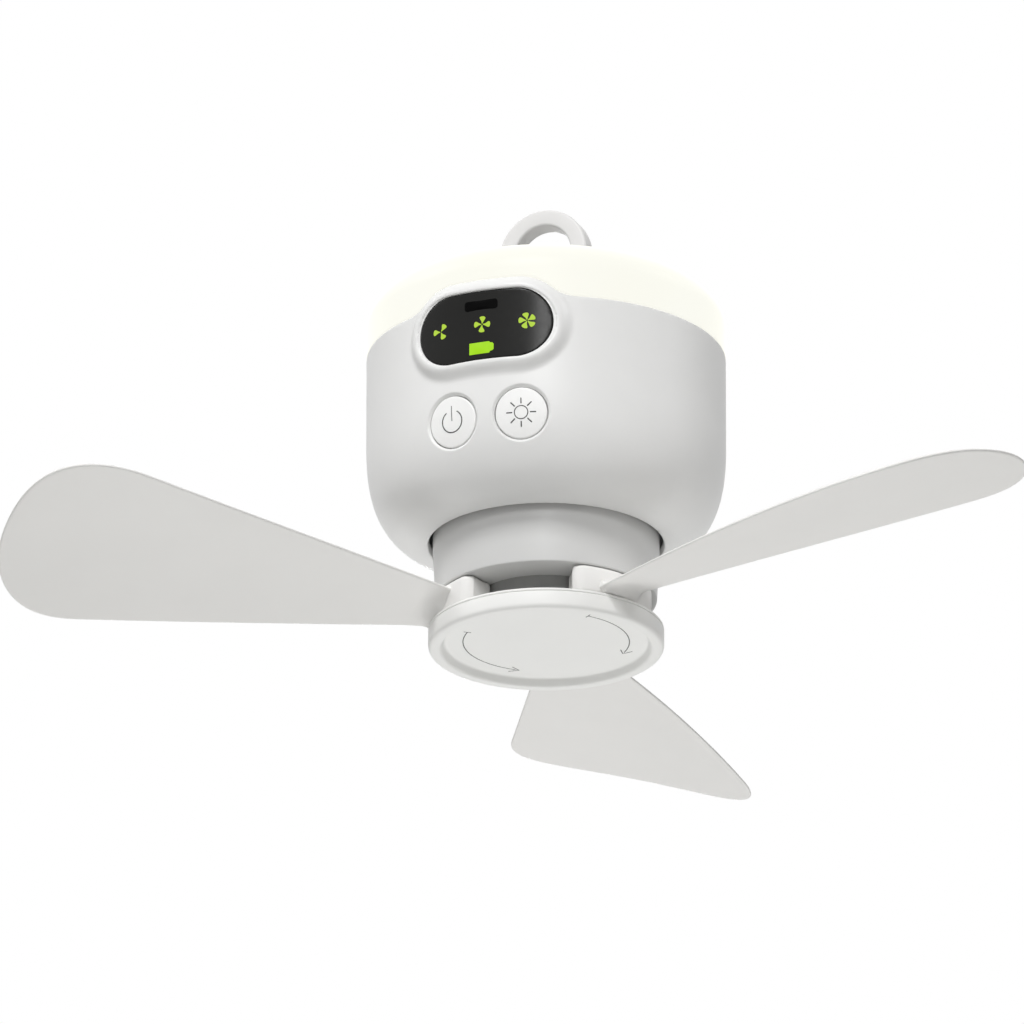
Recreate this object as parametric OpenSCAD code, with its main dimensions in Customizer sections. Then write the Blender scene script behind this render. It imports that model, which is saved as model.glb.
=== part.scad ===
// Hanging camping fan with a lamp dome, a front display and three pull-out blades.
// Millimetres. +Z is up, the display faces -Y, and the rotor turns about Z.
// The origin is the point where the fan hangs: the inside top of its ring.

/* [Housing] */
// Outer diameter of the housing and of the lamp dome
body_d = 112; // [108:1:120]
// Height of the housing, from its floor to the seam under the lamp
shell_h = 62; // [60:1:68]
// Wall thickness of the housing
wall = 2.5; // [2:0.1:3]
// Width of the rounded lower corner
corner_w = 26.4; // [24:0.5:28]
// Height of the rounded lower corner
corner_h = 35.5; // [32:0.5:38]
// How square the rounded corner is: 2 is an ellipse
corner_power = 2.8; // [2:0.1:3.2]
// Diameter of the round opening that the rotor passes through
opening_d = 73.4; // [73:0.1:75]

/* [Lamp] */
// Height of the lamp dome above the seam
lamp_h = 22; // [20:0.5:26]
// Width of the dome's rounded shoulder
shoulder_w = 16.8; // [10:0.2:17]
// Height of the dome's rounded shoulder
shoulder_h = 11.8; // [9:0.2:14]
// Wall thickness of the dome
dome_wall = 3; // [2.8:0.1:3.4]
// Number of LEDs
led_count = 24; // [12:2:36]

/* [Hanging ring] */
// Outer width of the ring
ring_w = 28.7; // [26:0.1:30]
// Width of the bar that the ring is made of
ring_bar = 5.2; // [4:0.1:6]
// Thickness of the ring, front to back
ring_t = 7; // [5:0.1:7.2]
// Height of the hanging point above the dome
ring_rise = 22.8; // [20:0.1:24]
// Diameter of the ring's pin
pin_d = 3; // [2:0.1:3.4]

/* [Display and buttons] */
// Length of the display window
window_w = 44; // [40:1:46]
// Height of the display window
window_h = 23; // [20:0.5:24]
// Height of the display's centre below the seam
window_drop = 9.4; // [8:0.1:11]
// How far the display surround stands out
surround_out = 2.4; // [1:0.1:3]
// Diameter of the buttons
button_d = 16.2; // [12:0.1:18]
// Angle of each button from the front
button_angle = 11.9; // [11:0.1:14]
// Height of the buttons' centres below the seam
button_drop = 38.4; // [36:0.1:42]
// Depth of the buttons' faces below the wall
button_recess = 0.9; // [0.5:0.1:1.2]
// Travel of a button
button_travel = 0.8; // [0.4:0.1:1]

/* [Rotor] */
// Diameter of the drum at its top
drum_d = 70.4; // [69:0.1:71]
// Diameter of the drum at its bottom
drum_end_d = 68.8; // [68:0.1:70]
// Height of the drum below the housing
drum_drop = 17.8; // [16:0.1:20]
// Height of the gap that holds the blade roots
root_gap = 9.6; // [9:0.1:10]
// Diameter of the cap
cap_d = 73.2; // [72:0.1:74]
// Height of the cap
cap_h = 6.6; // [6:0.1:8]

/* [Blades] */
// Diameter that the blades sweep
fan_d = 350; // [300:5:360]
// Direction of the first blade about Z
blade_turn = 99.7; // [90:0.1:110]
// Pitch of the blades at their roots
pitch = 11.7; // [8:0.1:14]
// Extra pitch at the tips
twist = 4; // [0:0.5:6]
// Angle by which the blades rise outwards
rise = 4; // [0:0.5:5]
// Thickness of the blades
blade_t = 1.8; // [1.4:0.1:2.4]
// Depth of the blade's hollow side over a 100 mm chord
camber = 6.2; // [0:0.1:8]

/* [Motor] */
// Outer diameter of the motor's bell
bell_d = 54; // [50:1:56]
// Diameter of the motor's shaft
shaft_d = 4; // [3:0.5:5]
// Number of stator teeth
tooth_count = 12; // [9:3:12]

/* [Hidden] */
$fn = 96;

// clearances
fit = 0.05;        // radial, of a pin or a shaft that turns
gap = 0.3;         // between pieces that move past each other
tiny = 0.01;

// levels, downwards from the hanging point
lamp_z = -ring_rise;
seam_z = lamp_z - lamp_h;
floor_z = seam_z - shell_h;
drum_z = floor_z - drum_drop;
cap_z = drum_z - root_gap;
bottom_z = cap_z - cap_h;

body_r = body_d / 2;
inner_r = body_r - wall;
opening_r = opening_d / 2;
window_z = seam_z - window_drop;
button_z = seam_z - button_drop;
face_r = body_r + surround_out - 0.5;   // front of the display window
display_board_y = 48.6;
button_r = button_d / 2;
flange_r = button_r + 1.1;
flange_depth = 3;
button_depth = 3.8;
stem_len = 1.2;
switch_r = body_r - button_recess - button_depth - stem_len - button_travel - gap;
switch_h = 3.4;

// ring and its pin
pin_z = lamp_z - ring_t / 2 - gap;
arch_z = ring_bar - ring_w / 2;

// ring seat and lamp
seat_r = 38;
seat_t = 1.8;
recess_r = ring_w / 2 + 0.5;
recess_end = arch_z + ring_w / 2 - pin_z + 0.8;
recess_floor = pin_z - ring_t / 2 - gap;
base_z = seam_z - 5;
base_t = 2;
base_r = inner_r - gap;
board_t = 1.6;

// posts of the housing, as [angle about Z, distance from the axis]
post_at = [for (a = [20, 160, 200, 340]) [a, 48]];
boss_at = [for (a = [45, 135, 225, 315]) [a, 40.2]];
bracket_z = floor_z + 10.6;
bracket_t = 2.4;
bracket_r = 43.4;

// battery pack
cell_d = 18.4;
cell_len = 65;
cell_pitch = 18.8;
cell_count = 4;
tray_z = bracket_z + bracket_t + 2.6;
tray_wall = 1.4;
cell_z = tray_z + tray_wall + cell_d / 2;
pack_w = cell_count * cell_pitch + 2 * tray_wall;
pack_l = cell_len + 0.6 + 2 * tray_wall;
lid_z = cell_z + cell_d / 2;
lid_t = 1.6;
split_z = cell_z + 1;
main_z = lid_z + lid_t + 3;
port_z = main_z + board_t + 1.6;

// motor
shaft_r = shaft_d / 2;
bearing_r = 4.5;
bearing_h = 4;
tube_r = 6.2;
drum_floor_t = 2.4;
bell_z = drum_z + drum_floor_t;
bell_h = 20;
bell_r = bell_d / 2;
magnet_r = bell_r - 1.4;
stator_r = magnet_r - 3.1;
stator_z = bell_z + 5;
stator_h = 9;
tube_end = stator_z - 1;

// rotor
root_r = drum_end_d / 2 + 0.2;
root_in_r = 23;
root_h = root_gap - 2 * gap;
root_z = cap_z + gap;
root_span = 63;
root_shift = -4.5;
hub_r = 22.4;
tongue_w = 14;
tongue_t = 4;
tongue_len = 11;
tongue_z = cap_z + 6.6;
screw_at = [for (i = [0:2]) [blade_turn + 60 + 120 * i + root_shift, 16.6]];

// twist lock of the cap: three lugs on its boss, in grooves of the hub
cap_boss_r = 11;
cap_boss_h = 3.4;
lug_r = 12.6;
lug_span = 22;
lug_z = cap_z + 1.9;
lug_h = 1.4;
unlock_turn = 30;
lug_side = lug_span / 2 + 2;

// A point of a rounded corner: one quarter of a superellipse
function corner(w, h, p, a) = [w * (1 - pow(cos(a), 2 / p)), h * (1 - pow(sin(a), 2 / p))];

// Turns a piece modelled along +X to face outwards at an angle about Z
module facing(angle, r = 0, z = 0) {
    rotate([0, 0, angle]) translate([r, 0, z]) children();
}

// Children at each [angle, distance] of a list, at a height
module at_each(places, z = 0) {
    for (place = places) facing(place[0], place[1], z) children();
}

module tube(r_out, r_in, h) {
    difference() {
        cylinder(r = r_out, h = h);
        translate([0, 0, -1]) cylinder(r = r_in, h = h + 2);
    }
}

// Plate with a pill outline in X and Z, from a depth y0 to y1
module pill_plate(w, h, y0, y1) {
    translate([0, y1, 0]) rotate([90, 0, 0]) linear_extrude(y1 - y0) pill(w, h);
}

module pill(w, h) {
    square([w - h, h], center = true);
    for (side = [-1, 1]) translate([side * (w - h) / 2, 0]) circle(d = h);
}

// Small pan-head screw standing on its head, from its underside down
module screw(d, len, head_d, head_h) {
    translate([0, 0, -len]) cylinder(d = d, h = len + tiny);
    difference() {
        cylinder(d = head_d, h = head_h);
        translate([0, 0, head_h - 0.6]) for (a = [0, 90])
            rotate([0, 0, a]) cube([head_d * 0.6, 0.7, 1.4], center = true);
    }
}

// ---- housing ----

// Outline of the housing's outside, moved inwards by an inset
module shell_profile(inset, top) {
    steps = 18;
    corner_points = [for (i = [0:steps])
        let (c = corner(corner_w, corner_h, corner_power, 90 * i / steps))
        [body_r - inset - c[0], floor_z + inset + c[1]]];
    polygon(concat([[0, top], [body_r - inset, top]], corner_points, [[0, floor_z + inset]]));
}

// Outline of the raised tab behind the display, in X and Z from the seam
module tab_outline(grow = 0) {
    tab_r = 17 + grow;
    half = (window_w - window_h) / 2;
    fillet_r = 5 - grow;
    foot = half + sqrt(pow(tab_r + fillet_r, 2) - pow(window_drop + fillet_r, 2));
    translate([0, -window_drop]) pill(2 * half + 2 * tab_r, 2 * tab_r);
    for (side = [0, 1]) mirror([side, 0]) difference() {
        polygon([[half, 0], [foot, 0], [foot, fillet_r], [half, -window_drop + tab_r / 2]]);
        translate([foot, fillet_r]) circle(r = fillet_r);
    }
}

module tab_prism(grow, below) {
    intersection() {
        translate([0, 0, seam_z]) rotate([90, 0, 0]) linear_extrude(body_r + 10) tab_outline(grow);
        translate([-body_r, -body_r - 10, seam_z - below]) cube([body_d, body_r + 10, 40]);
    }
}

// Hole of a button along +Z from the axis: room for its flange, then a bevel at its mouth
module button_hole() {
    hole_r = button_r + gap;
    room_r = flange_r + gap;
    step = body_r - button_recess - flange_depth + gap;
    rotate_extrude() polygon([
        [0, body_r / 2], [room_r, body_r / 2], [room_r, step], [hole_r, step], [hole_r, body_r - 1.1],
        [hole_r + 1.3, body_r + 0.2], [hole_r + 1.3, body_d], [0, body_d]]);
}

module housing_shell() {
    color("whitesmoke") difference() {
        union() {
            difference() {
                rotate_extrude() shell_profile(0, seam_z);
                rotate_extrude() shell_profile(wall, seam_z + 1);
            }
            // tab that rises in front of the lamp
            intersection() {
                tab_prism(0, 1);
                translate([0, 0, seam_z - 2]) tube(body_r, inner_r, 30);
            }
            // surround of the display, in two steps
            intersection() {
                translate([0, 0, window_z]) pill_plate(window_w + 8, window_h + 8, -body_d, 0);
                translate([0, 0, floor_z]) tube(body_r + surround_out / 2, inner_r, 100);
            }
            intersection() {
                translate([0, 0, window_z]) pill_plate(window_w + 3, window_h + 3, -body_d, 0);
                translate([0, 0, floor_z]) tube(body_r + surround_out, inner_r, 100);
            }
            // posts that carry the display board
            for (side = [-1, 1]) translate([side * 15, -inner_r + 1, window_z - 13.4])
                rotate([-90, 0, 0]) cylinder(r = 1.9, h = inner_r - 1 - display_board_y);
            // posts for the switch boards and the lamp base, and bosses for the motor bracket
            intersection() {
                rotate_extrude() shell_profile(wall / 2, seam_z);
                union() {
                    for (side = [-1, 1], end = [-1, 1])
                        facing(270 + side * button_angle, switch_r - switch_h, button_z + end * 11.2)
                            rotate([0, 90, 0]) cylinder(r = 1.6, h = body_r - switch_r + switch_h);
                    at_each(post_at, floor_z) cylinder(r = 3.6, h = base_z - floor_z);
                    at_each(boss_at, floor_z) cylinder(r = 3.2, h = bracket_z - floor_z);
                }
            }
        }
        translate([0, 0, floor_z - 1]) cylinder(r = opening_r, h = 10);
        translate([0, 0, window_z]) pill_plate(window_w, window_h, -body_d, -body_r / 2);
        for (side = [-1, 1])
            facing(270 + side * button_angle, 0, button_z) rotate([0, 90, 0]) button_hole();
        // slot of the charging socket, at the back
        translate([0, 0, port_z]) pill_plate(9.6, 3.9, body_r / 2, body_d);
        at_each(post_at, base_z - 9) cylinder(d = 2, h = 20);
        at_each(boss_at, bracket_z - 6) cylinder(d = 2, h = 10);
    }
}

// ---- lamp ----

module dome_profile(inset) {
    steps = 12;
    shoulder = [for (i = [0:steps])
        let (c = corner(shoulder_w, shoulder_h, 2, 90 * i / steps))
        [body_r - inset - c[0], lamp_z - inset - c[1]]];
    polygon(concat([[0, seam_z - 4], [body_r - inset, seam_z - 4]], shoulder, [[0, lamp_z - inset]]));
}

module lamp_diffuser() {
    color("ivory") difference() {
        union() {
            intersection() {
                rotate_extrude() dome_profile(0);
                translate([0, 0, seam_z + 0.1]) cylinder(r = body_d, h = lamp_h);
            }
            // lip that snaps into the housing
            translate([0, 0, seam_z - 3]) cylinder(r = inner_r - 0.1, h = 4);
        }
        rotate_extrude() dome_profile(dome_wall);
        translate([0, 0, seam_z - 4]) cylinder(r = inner_r - 1.7, h = 5);
        translate([0, 0, lamp_z - seat_t]) cylinder(r = seat_r + 0.1, h = 5);
        translate([0, 0, lamp_z - 6]) cylinder(r = seat_r - 3, h = 9);
        tab_prism(gap, 6);
    }
}

module ring_outline(r) {
    translate([-r, 0]) square([2 * r, arch_z - pin_z]);
    translate([0, arch_z - pin_z]) circle(r = r);
}

// Outline of the recess for the ring, upright and folded back
module recess_outline(grow) {
    front = ring_t / 2 + gap + grow;
    translate([-recess_r - grow, -front]) square([2 * (recess_r + grow), recess_end - recess_r + front]);
    translate([0, recess_end - recess_r]) circle(r = recess_r + grow);
}

module ring_recess() {
    translate([0, 0, recess_floor]) linear_extrude(30) recess_outline(0);
}

module ring_seat() {
    tray_out = 1.8;
    color("white") difference() {
        union() {
            translate([0, 0, lamp_z - seat_t]) cylinder(r = seat_r, h = seat_t);
            translate([0, 0, recess_floor - tray_out])
                linear_extrude(lamp_z - recess_floor) recess_outline(tray_out);
        }
        ring_recess();
        translate([-ring_w, 0, pin_z]) rotate([0, 90, 0]) cylinder(d = pin_d, h = 2 * ring_w);
        // dip for a fingertip, past the folded ring
        translate([0, recess_end - 3, lamp_z + 6]) sphere(r = 8);
    }
}

module hanging_ring() {
    inner = ring_w / 2 - ring_bar;
    color("gainsboro") difference() {
        union() {
            translate([0, ring_t / 2, pin_z]) rotate([90, 0, 0]) linear_extrude(ring_t)
                difference() {
                    ring_outline(ring_w / 2);
                    translate([0, -1]) ring_outline(inner);
                    translate([0, arch_z - pin_z]) circle(r = inner);
                }
            for (side = [-1, 1]) translate([side * (ring_w - ring_bar) / 2, 0, pin_z])
                rotate([0, 90, 0]) cylinder(r = ring_t / 2, h = ring_bar, center = true);
        }
        translate([-ring_w, 0, pin_z]) rotate([0, 90, 0]) cylinder(d = pin_d + 2 * fit, h = 2 * ring_w);
    }
}

module ring_pin() {
    length = 2 * recess_r + 3;
    color("silver") translate([-length / 2, 0, pin_z]) rotate([0, 90, 0]) cylinder(d = pin_d, h = length);
}

module lamp_base() {
    color("white") difference() {
        union() {
            translate([0, 0, base_z]) cylinder(r = base_r, h = base_t);
            translate([0, 0, base_z]) tube(inner_r - 2, inner_r - 2.9, base_t + 1.4);
        }
        translate([0, 0, window_z]) pill_plate(window_w + 6, window_h + 6, -body_d, -body_r + 9);
        at_each(post_at, base_z - 1) cylinder(d = 3, h = 5);
        translate([0, 30, base_z - 1]) cylinder(d = 5, h = 5);
    }
}

module base_screws() {
    color("dimgray") at_each(post_at, base_z + base_t) screw(1.9, 8, 4.6, 1.6);
}

module led_board() {
    color("white") translate([0, 0, base_z + base_t]) difference() {
        cylinder(r = 43, h = board_t);
        translate([0, 30, -1]) cylinder(d = 5, h = 4);
    }
}

module lamp_leds() {
    color("lemonchiffon") for (i = [0:led_count - 1]) facing(360 * (i + 0.5) / led_count, 38)
        translate([-1.4, -1.75, base_z + base_t + board_t]) cube([2.8, 3.5, 0.8]);
}

// ---- display ----

module display_window() {
    color("black") intersection() {
        translate([0, 0, window_z]) pill_plate(window_w - 0.2, window_h - 0.2, -body_d, 0);
        translate([0, 0, floor_z]) tube(face_r, body_r - 1.6, 100);
    }
}

// Shape standing through the window's face by a hair, from an outline in X and Z
module on_window(out) {
    intersection() {
        translate([0, 0, window_z]) rotate([90, 0, 0]) linear_extrude(body_d) children();
        translate([0, 0, floor_z]) tube(face_r + out, face_r, 100);
    }
}

module fan_mark(blades) {
    for (i = [0:blades - 1]) rotate(180 + 360 * i / blades) polygon([
        [0.35, 0], [1.1, -0.55], [1.9, -1], [2.4, -0.8], [2.6, 0], [2.4, 0.7], [1.9, 0.6], [1.1, 0.2]]);
}

module display_icons() {
    color("greenyellow") on_window(0.12) {
        for (i = [-1:1]) translate([14.2 * i, 0.2]) fan_mark(i + 4);
        translate([-4, -9.4]) square([6.6, 3.8]);
        translate([2.5, -8.7]) square([1.2, 2.4]);
    }
}

module ir_window() {
    color("black") on_window(0.12) translate([-0.4, 6.7]) square([10.8, 3.2], center = true);
}

module display_board() {
    color("seagreen") translate([-19, -display_board_y, window_z - 16]) cube([38, board_t, 26]);
}

// ---- buttons ----

// Button along +X, its face at x = 0 and its stem inwards
module button() {
    rotate([0, -90, 0]) {
        cylinder(r = button_r, h = button_depth);
        translate([0, 0, flange_depth]) cylinder(r = flange_r, h = button_depth - flange_depth);
        translate([0, 0, button_depth - tiny]) cylinder(r = 1.6, h = stem_len + tiny);
    }
}

// Button in its place, its face following the wall
module button_at(side) {
    intersection() {
        facing(270 + side * button_angle, body_r - button_recess, button_z) button();
        rotate_extrude() shell_profile(button_recess, seam_z);
    }
}

module power_button() {
    color("white") button_at(-1);
}

module light_button() {
    color("white") button_at(1);
}

module switch_board() {
    color("seagreen") for (side = [-1, 1])
        facing(270 + side * button_angle, switch_r - switch_h - board_t, button_z)
            translate([0, -4.9, -12.8]) cube([board_t, 9.8, 25.6]);
}

module button_switches() {
    block_h = 2.6;
    color("dimgray") for (side = [-1, 1])
        facing(270 + side * button_angle, switch_r - switch_h, button_z) {
            translate([0, -3, -3]) cube([block_h, 6, 6]);
            rotate([0, 90, 0]) cylinder(r = 1.7, h = switch_h);
        }
}

// ---- battery and boards ----

module battery_cells() {
    color("mediumseagreen") for (i = [0:cell_count - 1])
        translate([(i - (cell_count - 1) / 2) * cell_pitch, -cell_len / 2, cell_z]) rotate([-90, 0, 0]) {
            cylinder(d = cell_d, h = cell_len - 1);
            cylinder(d = 6, h = cell_len);
        }
}

// Box of the pack between two heights, moved inwards by an inset
module pack_box(inset, low, high) {
    translate([-pack_w / 2 + inset, -pack_l / 2 + inset, low])
        cube([pack_w - 2 * inset, pack_l - 2 * inset, high - low]);
}

module battery_tray() {
    color("dimgray") {
        difference() {
            intersection() {
                pack_box(0, tray_z, split_z);
                rotate_extrude() shell_profile(wall + 0.5, seam_z);
            }
            pack_box(tray_wall, tray_z + tray_wall, lid_z);
        }
        for (x = [-1, 1], y = [-1, 1]) translate([x * 28, y * 20, bracket_z + bracket_t])
            cylinder(r = 3, h = tray_z - bracket_z - bracket_t + tiny);
    }
}

module battery_lid() {
    color("dimgray") {
        difference() {
            pack_box(0, split_z, lid_z + lid_t);
            pack_box(tray_wall, split_z - 1, lid_z);
        }
        for (x = [-1, 1], y = [-1, 1]) translate([x * 30, y * 28, lid_z + lid_t - tiny])
            cylinder(r = 2.5, h = main_z - lid_z - lid_t + tiny);
    }
}

module main_board() {
    color("seagreen") translate([0, 0, main_z]) {
        intersection() {
            cylinder(r = 42, h = board_t);
            translate([-36, -32, -1]) cube([72, 80, 5]);
        }
        translate([-8, 30, 0]) cube([16, 19.5, board_t]);
    }
}

module main_board_parts() {
    top = main_z + board_t;
    color("dimgray") {
        translate([-6, -6, top]) cube([9, 9, 1.2]);
        translate([12, 4, top]) cube([6, 6, 1]);
        for (x = [-24, -16, 24]) translate([x, 14, top]) cylinder(d = 6.3, h = 8);
        for (i = [0:3]) translate([-20 + 9 * i, -26, top]) cube([7, 4, 5]);
    }
}

module charge_port() {
    color("silver") difference() {
        translate([0, 0, port_z]) pill_plate(9, 3.2, 45.4, 53);
        translate([0, 0, port_z]) pill_plate(8.4, 2.6, 46.2, 54);
    }
    color("black") translate([-3.3, 46, port_z - 0.35]) cube([6.6, 5.4, 0.7]);
}

// One lead as straight runs with flat ends and round bends
module lead(points, d) {
    for (i = [0:len(points) - 2]) {
        step = points[i + 1] - points[i];
        length = norm(step);
        translate(points[i]) rotate([0, acos(step[2] / length), atan2(step[1], step[0])])
            cylinder(d = d, h = length, $fn = 24);
        if (i > 0) translate(points[i]) sphere(d = d, $fn = 24);
    }
}

module wiring() {
    lead_d = 1.2;
    board_top = main_z + board_t;
    color("firebrick") {
        // battery to the main board
        for (x = [-14, -11]) lead([[x, 24, lid_z + lid_t], [x, 24, main_z]], lead_d);
        // main board to the lamp board
        for (x = [-1, 1]) lead([[x, 30, board_top], [x, 30, base_z + base_t + board_t]], lead_d);
        // main board to the motor, down the side of the pack
        for (y = [-3, 0, 3]) lead([[34, y, main_z - lead_d / 2], [39.9, y, main_z - lead_d / 2],
            [39.9, y, bracket_z + bracket_t]], lead_d);
        // flat ribbon from the main board to the display board
        translate([-6, -display_board_y + board_t, main_z - 0.4]) cube([12, 18, 0.4]);
    }
}

// ---- motor ----

module motor_bracket() {
    color("silver") difference() {
        union() {
            translate([0, 0, bracket_z]) cylinder(r = bracket_r, h = bracket_t);
            translate([0, 0, tube_end]) cylinder(r = tube_r, h = bracket_z - tube_end + 1);
        }
        translate([0, 0, tube_end - 1]) cylinder(r = shaft_r + 0.6, h = 60);
        for (z = [tube_end - 1, bracket_z + bracket_t - bearing_h])
            translate([0, 0, z]) cylinder(r = bearing_r, h = bearing_h + 1);
        at_each(boss_at, bracket_z - 1) cylinder(d = 3, h = 5);
        // windows that let the leads and air through
        for (a = [0:60:300]) facing(a + 30, 24, bracket_z - 1) cylinder(d = 8, h = 5);
    }
}

module bracket_screws() {
    color("dimgray") at_each(boss_at, bracket_z + bracket_t) screw(1.9, 7, 4.6, 1.6);
}

module stator_core() {
    pole_r = stator_r - 2.2;
    color("slategray") translate([0, 0, stator_z]) difference() {
        union() {
            tube(10.5, tube_r, stator_h);
            difference() {
                tube(stator_r, pole_r, stator_h);
                for (i = [0:tooth_count - 1]) facing(360 * (i + 0.5) / tooth_count, stator_r, -1)
                    translate([-4, -0.9, 0]) cube([8, 1.8, stator_h + 2]);
            }
            for (i = [0:tooth_count - 1]) facing(360 * i / tooth_count, 9.6)
                translate([0, -1.3, 0]) cube([pole_r - 9, 2.6, stator_h]);
        }
    }
}

module stator_coils() {
    coil_len = stator_r - 2.4 - 12;
    color("peru") for (i = [0:tooth_count - 1]) facing(360 * i / tooth_count, 12, stator_z) difference() {
        translate([0, -2.3, -1.2]) cube([coil_len, 4.6, stator_h + 2.4]);
        translate([-1, -1.3, 0]) cube([coil_len + 2, 2.6, stator_h]);
    }
}

module motor_bearings() {
    color("lightgray") for (z = [tube_end, bracket_z + bracket_t - bearing_h])
        translate([0, 0, z]) tube(bearing_r, shaft_r + fit, bearing_h);
}

module motor_shaft() {
    low = bell_z + tiny;
    high = bracket_z + bracket_t + 1.8;
    color("silver") difference() {
        translate([0, 0, low]) cylinder(r = shaft_r, h = high - low);
        // groove of the retaining clip
        translate([0, 0, high - 1.6]) tube(shaft_r + 1, shaft_r - 0.4, 0.6);
    }
}

module motor_bell() {
    color("gray") difference() {
        translate([0, 0, bell_z]) cylinder(r = bell_r, h = bell_h);
        translate([0, 0, bell_z + 2]) difference() {
            cylinder(r = bell_r - 1.4, h = bell_h);
            translate([0, 0, -1]) cylinder(r = 5, h = 2.6);
        }
        translate([0, 0, bell_z - 1]) cylinder(r = shaft_r, h = bell_h);
        at_each(screw_at, bell_z - 1) cylinder(d = 2, h = 5);
        for (place = screw_at, side = [-1, 1]) facing(place[0] + 30 * side, 15, bell_z - 1)
            cylinder(d = 6.5, h = 5);
    }
}

module magnet_ring() {
    color("darkslategray") translate([0, 0, bell_z + 3.5]) tube(magnet_r, magnet_r - 2.4, 13);
}

// ---- rotor ----

module rotor_drum() {
    top = floor_z + 5;
    drum_wall = 2.2;
    color("whitesmoke") difference() {
        rotate_extrude() polygon([
            [0, drum_z], [drum_end_d / 2 - 0.6, drum_z], [drum_end_d / 2, drum_z + 0.6],
            [drum_d / 2, floor_z - 2], [drum_d / 2, top], [drum_d / 2 - drum_wall, top],
            [drum_end_d / 2 - drum_wall, drum_z + drum_floor_t], [0, drum_z + drum_floor_t]]);
        at_each(screw_at, drum_z - 1) cylinder(d = 2, h = 5);
    }
}

// Socket side of a blade: the tongue's room in the hub
module socket() {
    translate([root_in_r - tongue_len - gap, -tongue_w / 2 - gap, tongue_z - tongue_t / 2 - gap])
        cube([tongue_len + 6, tongue_w + 2 * gap, tongue_t + 2 * gap]);
}

// Slice of a ring round the cap's boss, between two angles
module sector(r, z, h, from, to) {
    rotate([0, 0, from]) rotate_extrude(angle = to - from)
        translate([cap_boss_r - 1, z]) square([r - cap_boss_r + 1, h]);
}

module blade_hub() {
    hub_top = drum_z;
    color("lightgray") difference() {
        translate([0, 0, cap_z + gap]) cylinder(r = hub_r, h = hub_top - cap_z - gap);
        for (i = [0:2]) facing(blade_turn + 120 * i + root_shift) socket();
        translate([0, 0, cap_z]) cylinder(r = cap_boss_r + fit, h = cap_boss_h + gap);
        // grooves for the cap's lugs, each with its way in at the unlocked end
        for (place = screw_at) rotate([0, 0, place[0]]) {
            sector(lug_r + gap, lug_z - gap, lug_h + 2 * gap, -unlock_turn - lug_side, lug_side);
            sector(lug_r + gap, cap_z, lug_z - cap_z, -unlock_turn - lug_side, lug_side - unlock_turn);
        }
        at_each(screw_at, cap_z) cylinder(d = 2.4, h = 20);
        at_each(screw_at, cap_z) cylinder(d = 5.2, h = 3);
    }
}

module hub_screws() {
    color("dimgray") at_each(screw_at, cap_z + 3) rotate([180, 0, 0]) screw(1.9, 10, 4.6, 1.6);
}

module hub_cap() {
    rim = 2.6;
    dish = 1.2;
    rib_r = 26;
    color("whitesmoke") difference() {
        union() {
            rotate_extrude() polygon([
                [0, cap_z], [cap_d / 2 - 0.5, cap_z], [cap_d / 2, cap_z - 0.6], [cap_d / 2, bottom_z + 1.6],
                [cap_d / 2 - 0.5, bottom_z + 0.5], [cap_d / 2 - 1.6, bottom_z], [cap_d / 2 - rim, bottom_z],
                [cap_d / 2 - rim - 1.6, bottom_z + dish], [0, bottom_z + dish]]);
            translate([0, 0, cap_z - tiny]) cylinder(r = cap_boss_r, h = cap_boss_h);
            for (place = screw_at) rotate([0, 0, place[0]])
                sector(lug_r, lug_z, lug_h, -lug_span / 2, lug_span / 2);
        }
        // two round grooves that thin the cap, with a rib between them
        translate([0, 0, cap_z - 3.4]) tube(cap_d / 2 - 2.6, rib_r + 1, 4);
        translate([0, 0, cap_z - 3.4]) tube(rib_r - 1, lug_r + 1, 4);
    }
}

// ---- blades ----

// Edges of a blade across its chord at a distance r from the axis, and the share left near the tip
blade_in_r = 30;
chord_r = 42;
tip_r = fan_d / 2;
tip_round = 35;
function tip_share(r) =
    r < tip_r - tip_round ? 1 : pow(1 - pow(min(1, (r - tip_r + tip_round) / tip_round), 2.3), 1 / 2.3);
function lead_edge(r) = (9.5 + 0.278 * (r - chord_r)) * tip_share(r);
function trail_edge(r) =
    let (s = (r - chord_r) / (tip_r - chord_r))
    -(16 + 0.2336 * (r - chord_r) + 10 * max(0, s) * (0.9 - s)) * tip_share(r);
function blade_pitch(r) = pitch + twist * pow((r - chord_r) / (tip_r - chord_r), 2);

// Middle height of a blade at r and w, where w runs along the chord
function sheet_point(r, w, off) =
    let (p = blade_pitch(r), n = off - camber * pow(w / 50, 2))
    [r, w * cos(p) - n * sin(p), drum_z - 3.7 + tan(rise) * (r - chord_r) + w * sin(p) + n * cos(p)];

// Blade sheet: rings of points round the section, from the root to the tip
module blade_sheet() {
    across = 14;
    rows = concat([for (r = [blade_in_r:10:tip_r - tip_round]) r],
        [for (a = [10:10:90]) tip_r - tip_round + (tip_round - 0.2) * sin(a)]);
    count = len(rows);
    ring = 2 * across;
    points = [for (r = rows, i = [0:ring - 1])
        let (
            over = i < across,
            u = over ? i / across : (ring - i) / across,
            share = 0.5 - 0.5 * cos(180 * u),
            w = trail_edge(r) + (lead_edge(r) - trail_edge(r)) * share,
            half = blade_t / 2 * (0.35 + 0.65 * pow(4 * share * (1 - share), 0.5))
        )
        sheet_point(r, w, over ? half : -half)];
    sides = [for (j = [0:count - 2], i = [0:ring - 1])
        let (n = (i + 1) % ring)
        [j * ring + i, j * ring + n, (j + 1) * ring + n, (j + 1) * ring + i]];
    ends = [[for (i = [0:ring - 1]) ring - 1 - i], [for (i = [0:ring - 1]) (count - 1) * ring + i]];
    polyhedron(points, concat(sides, ends), convexity = 4);
}

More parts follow.
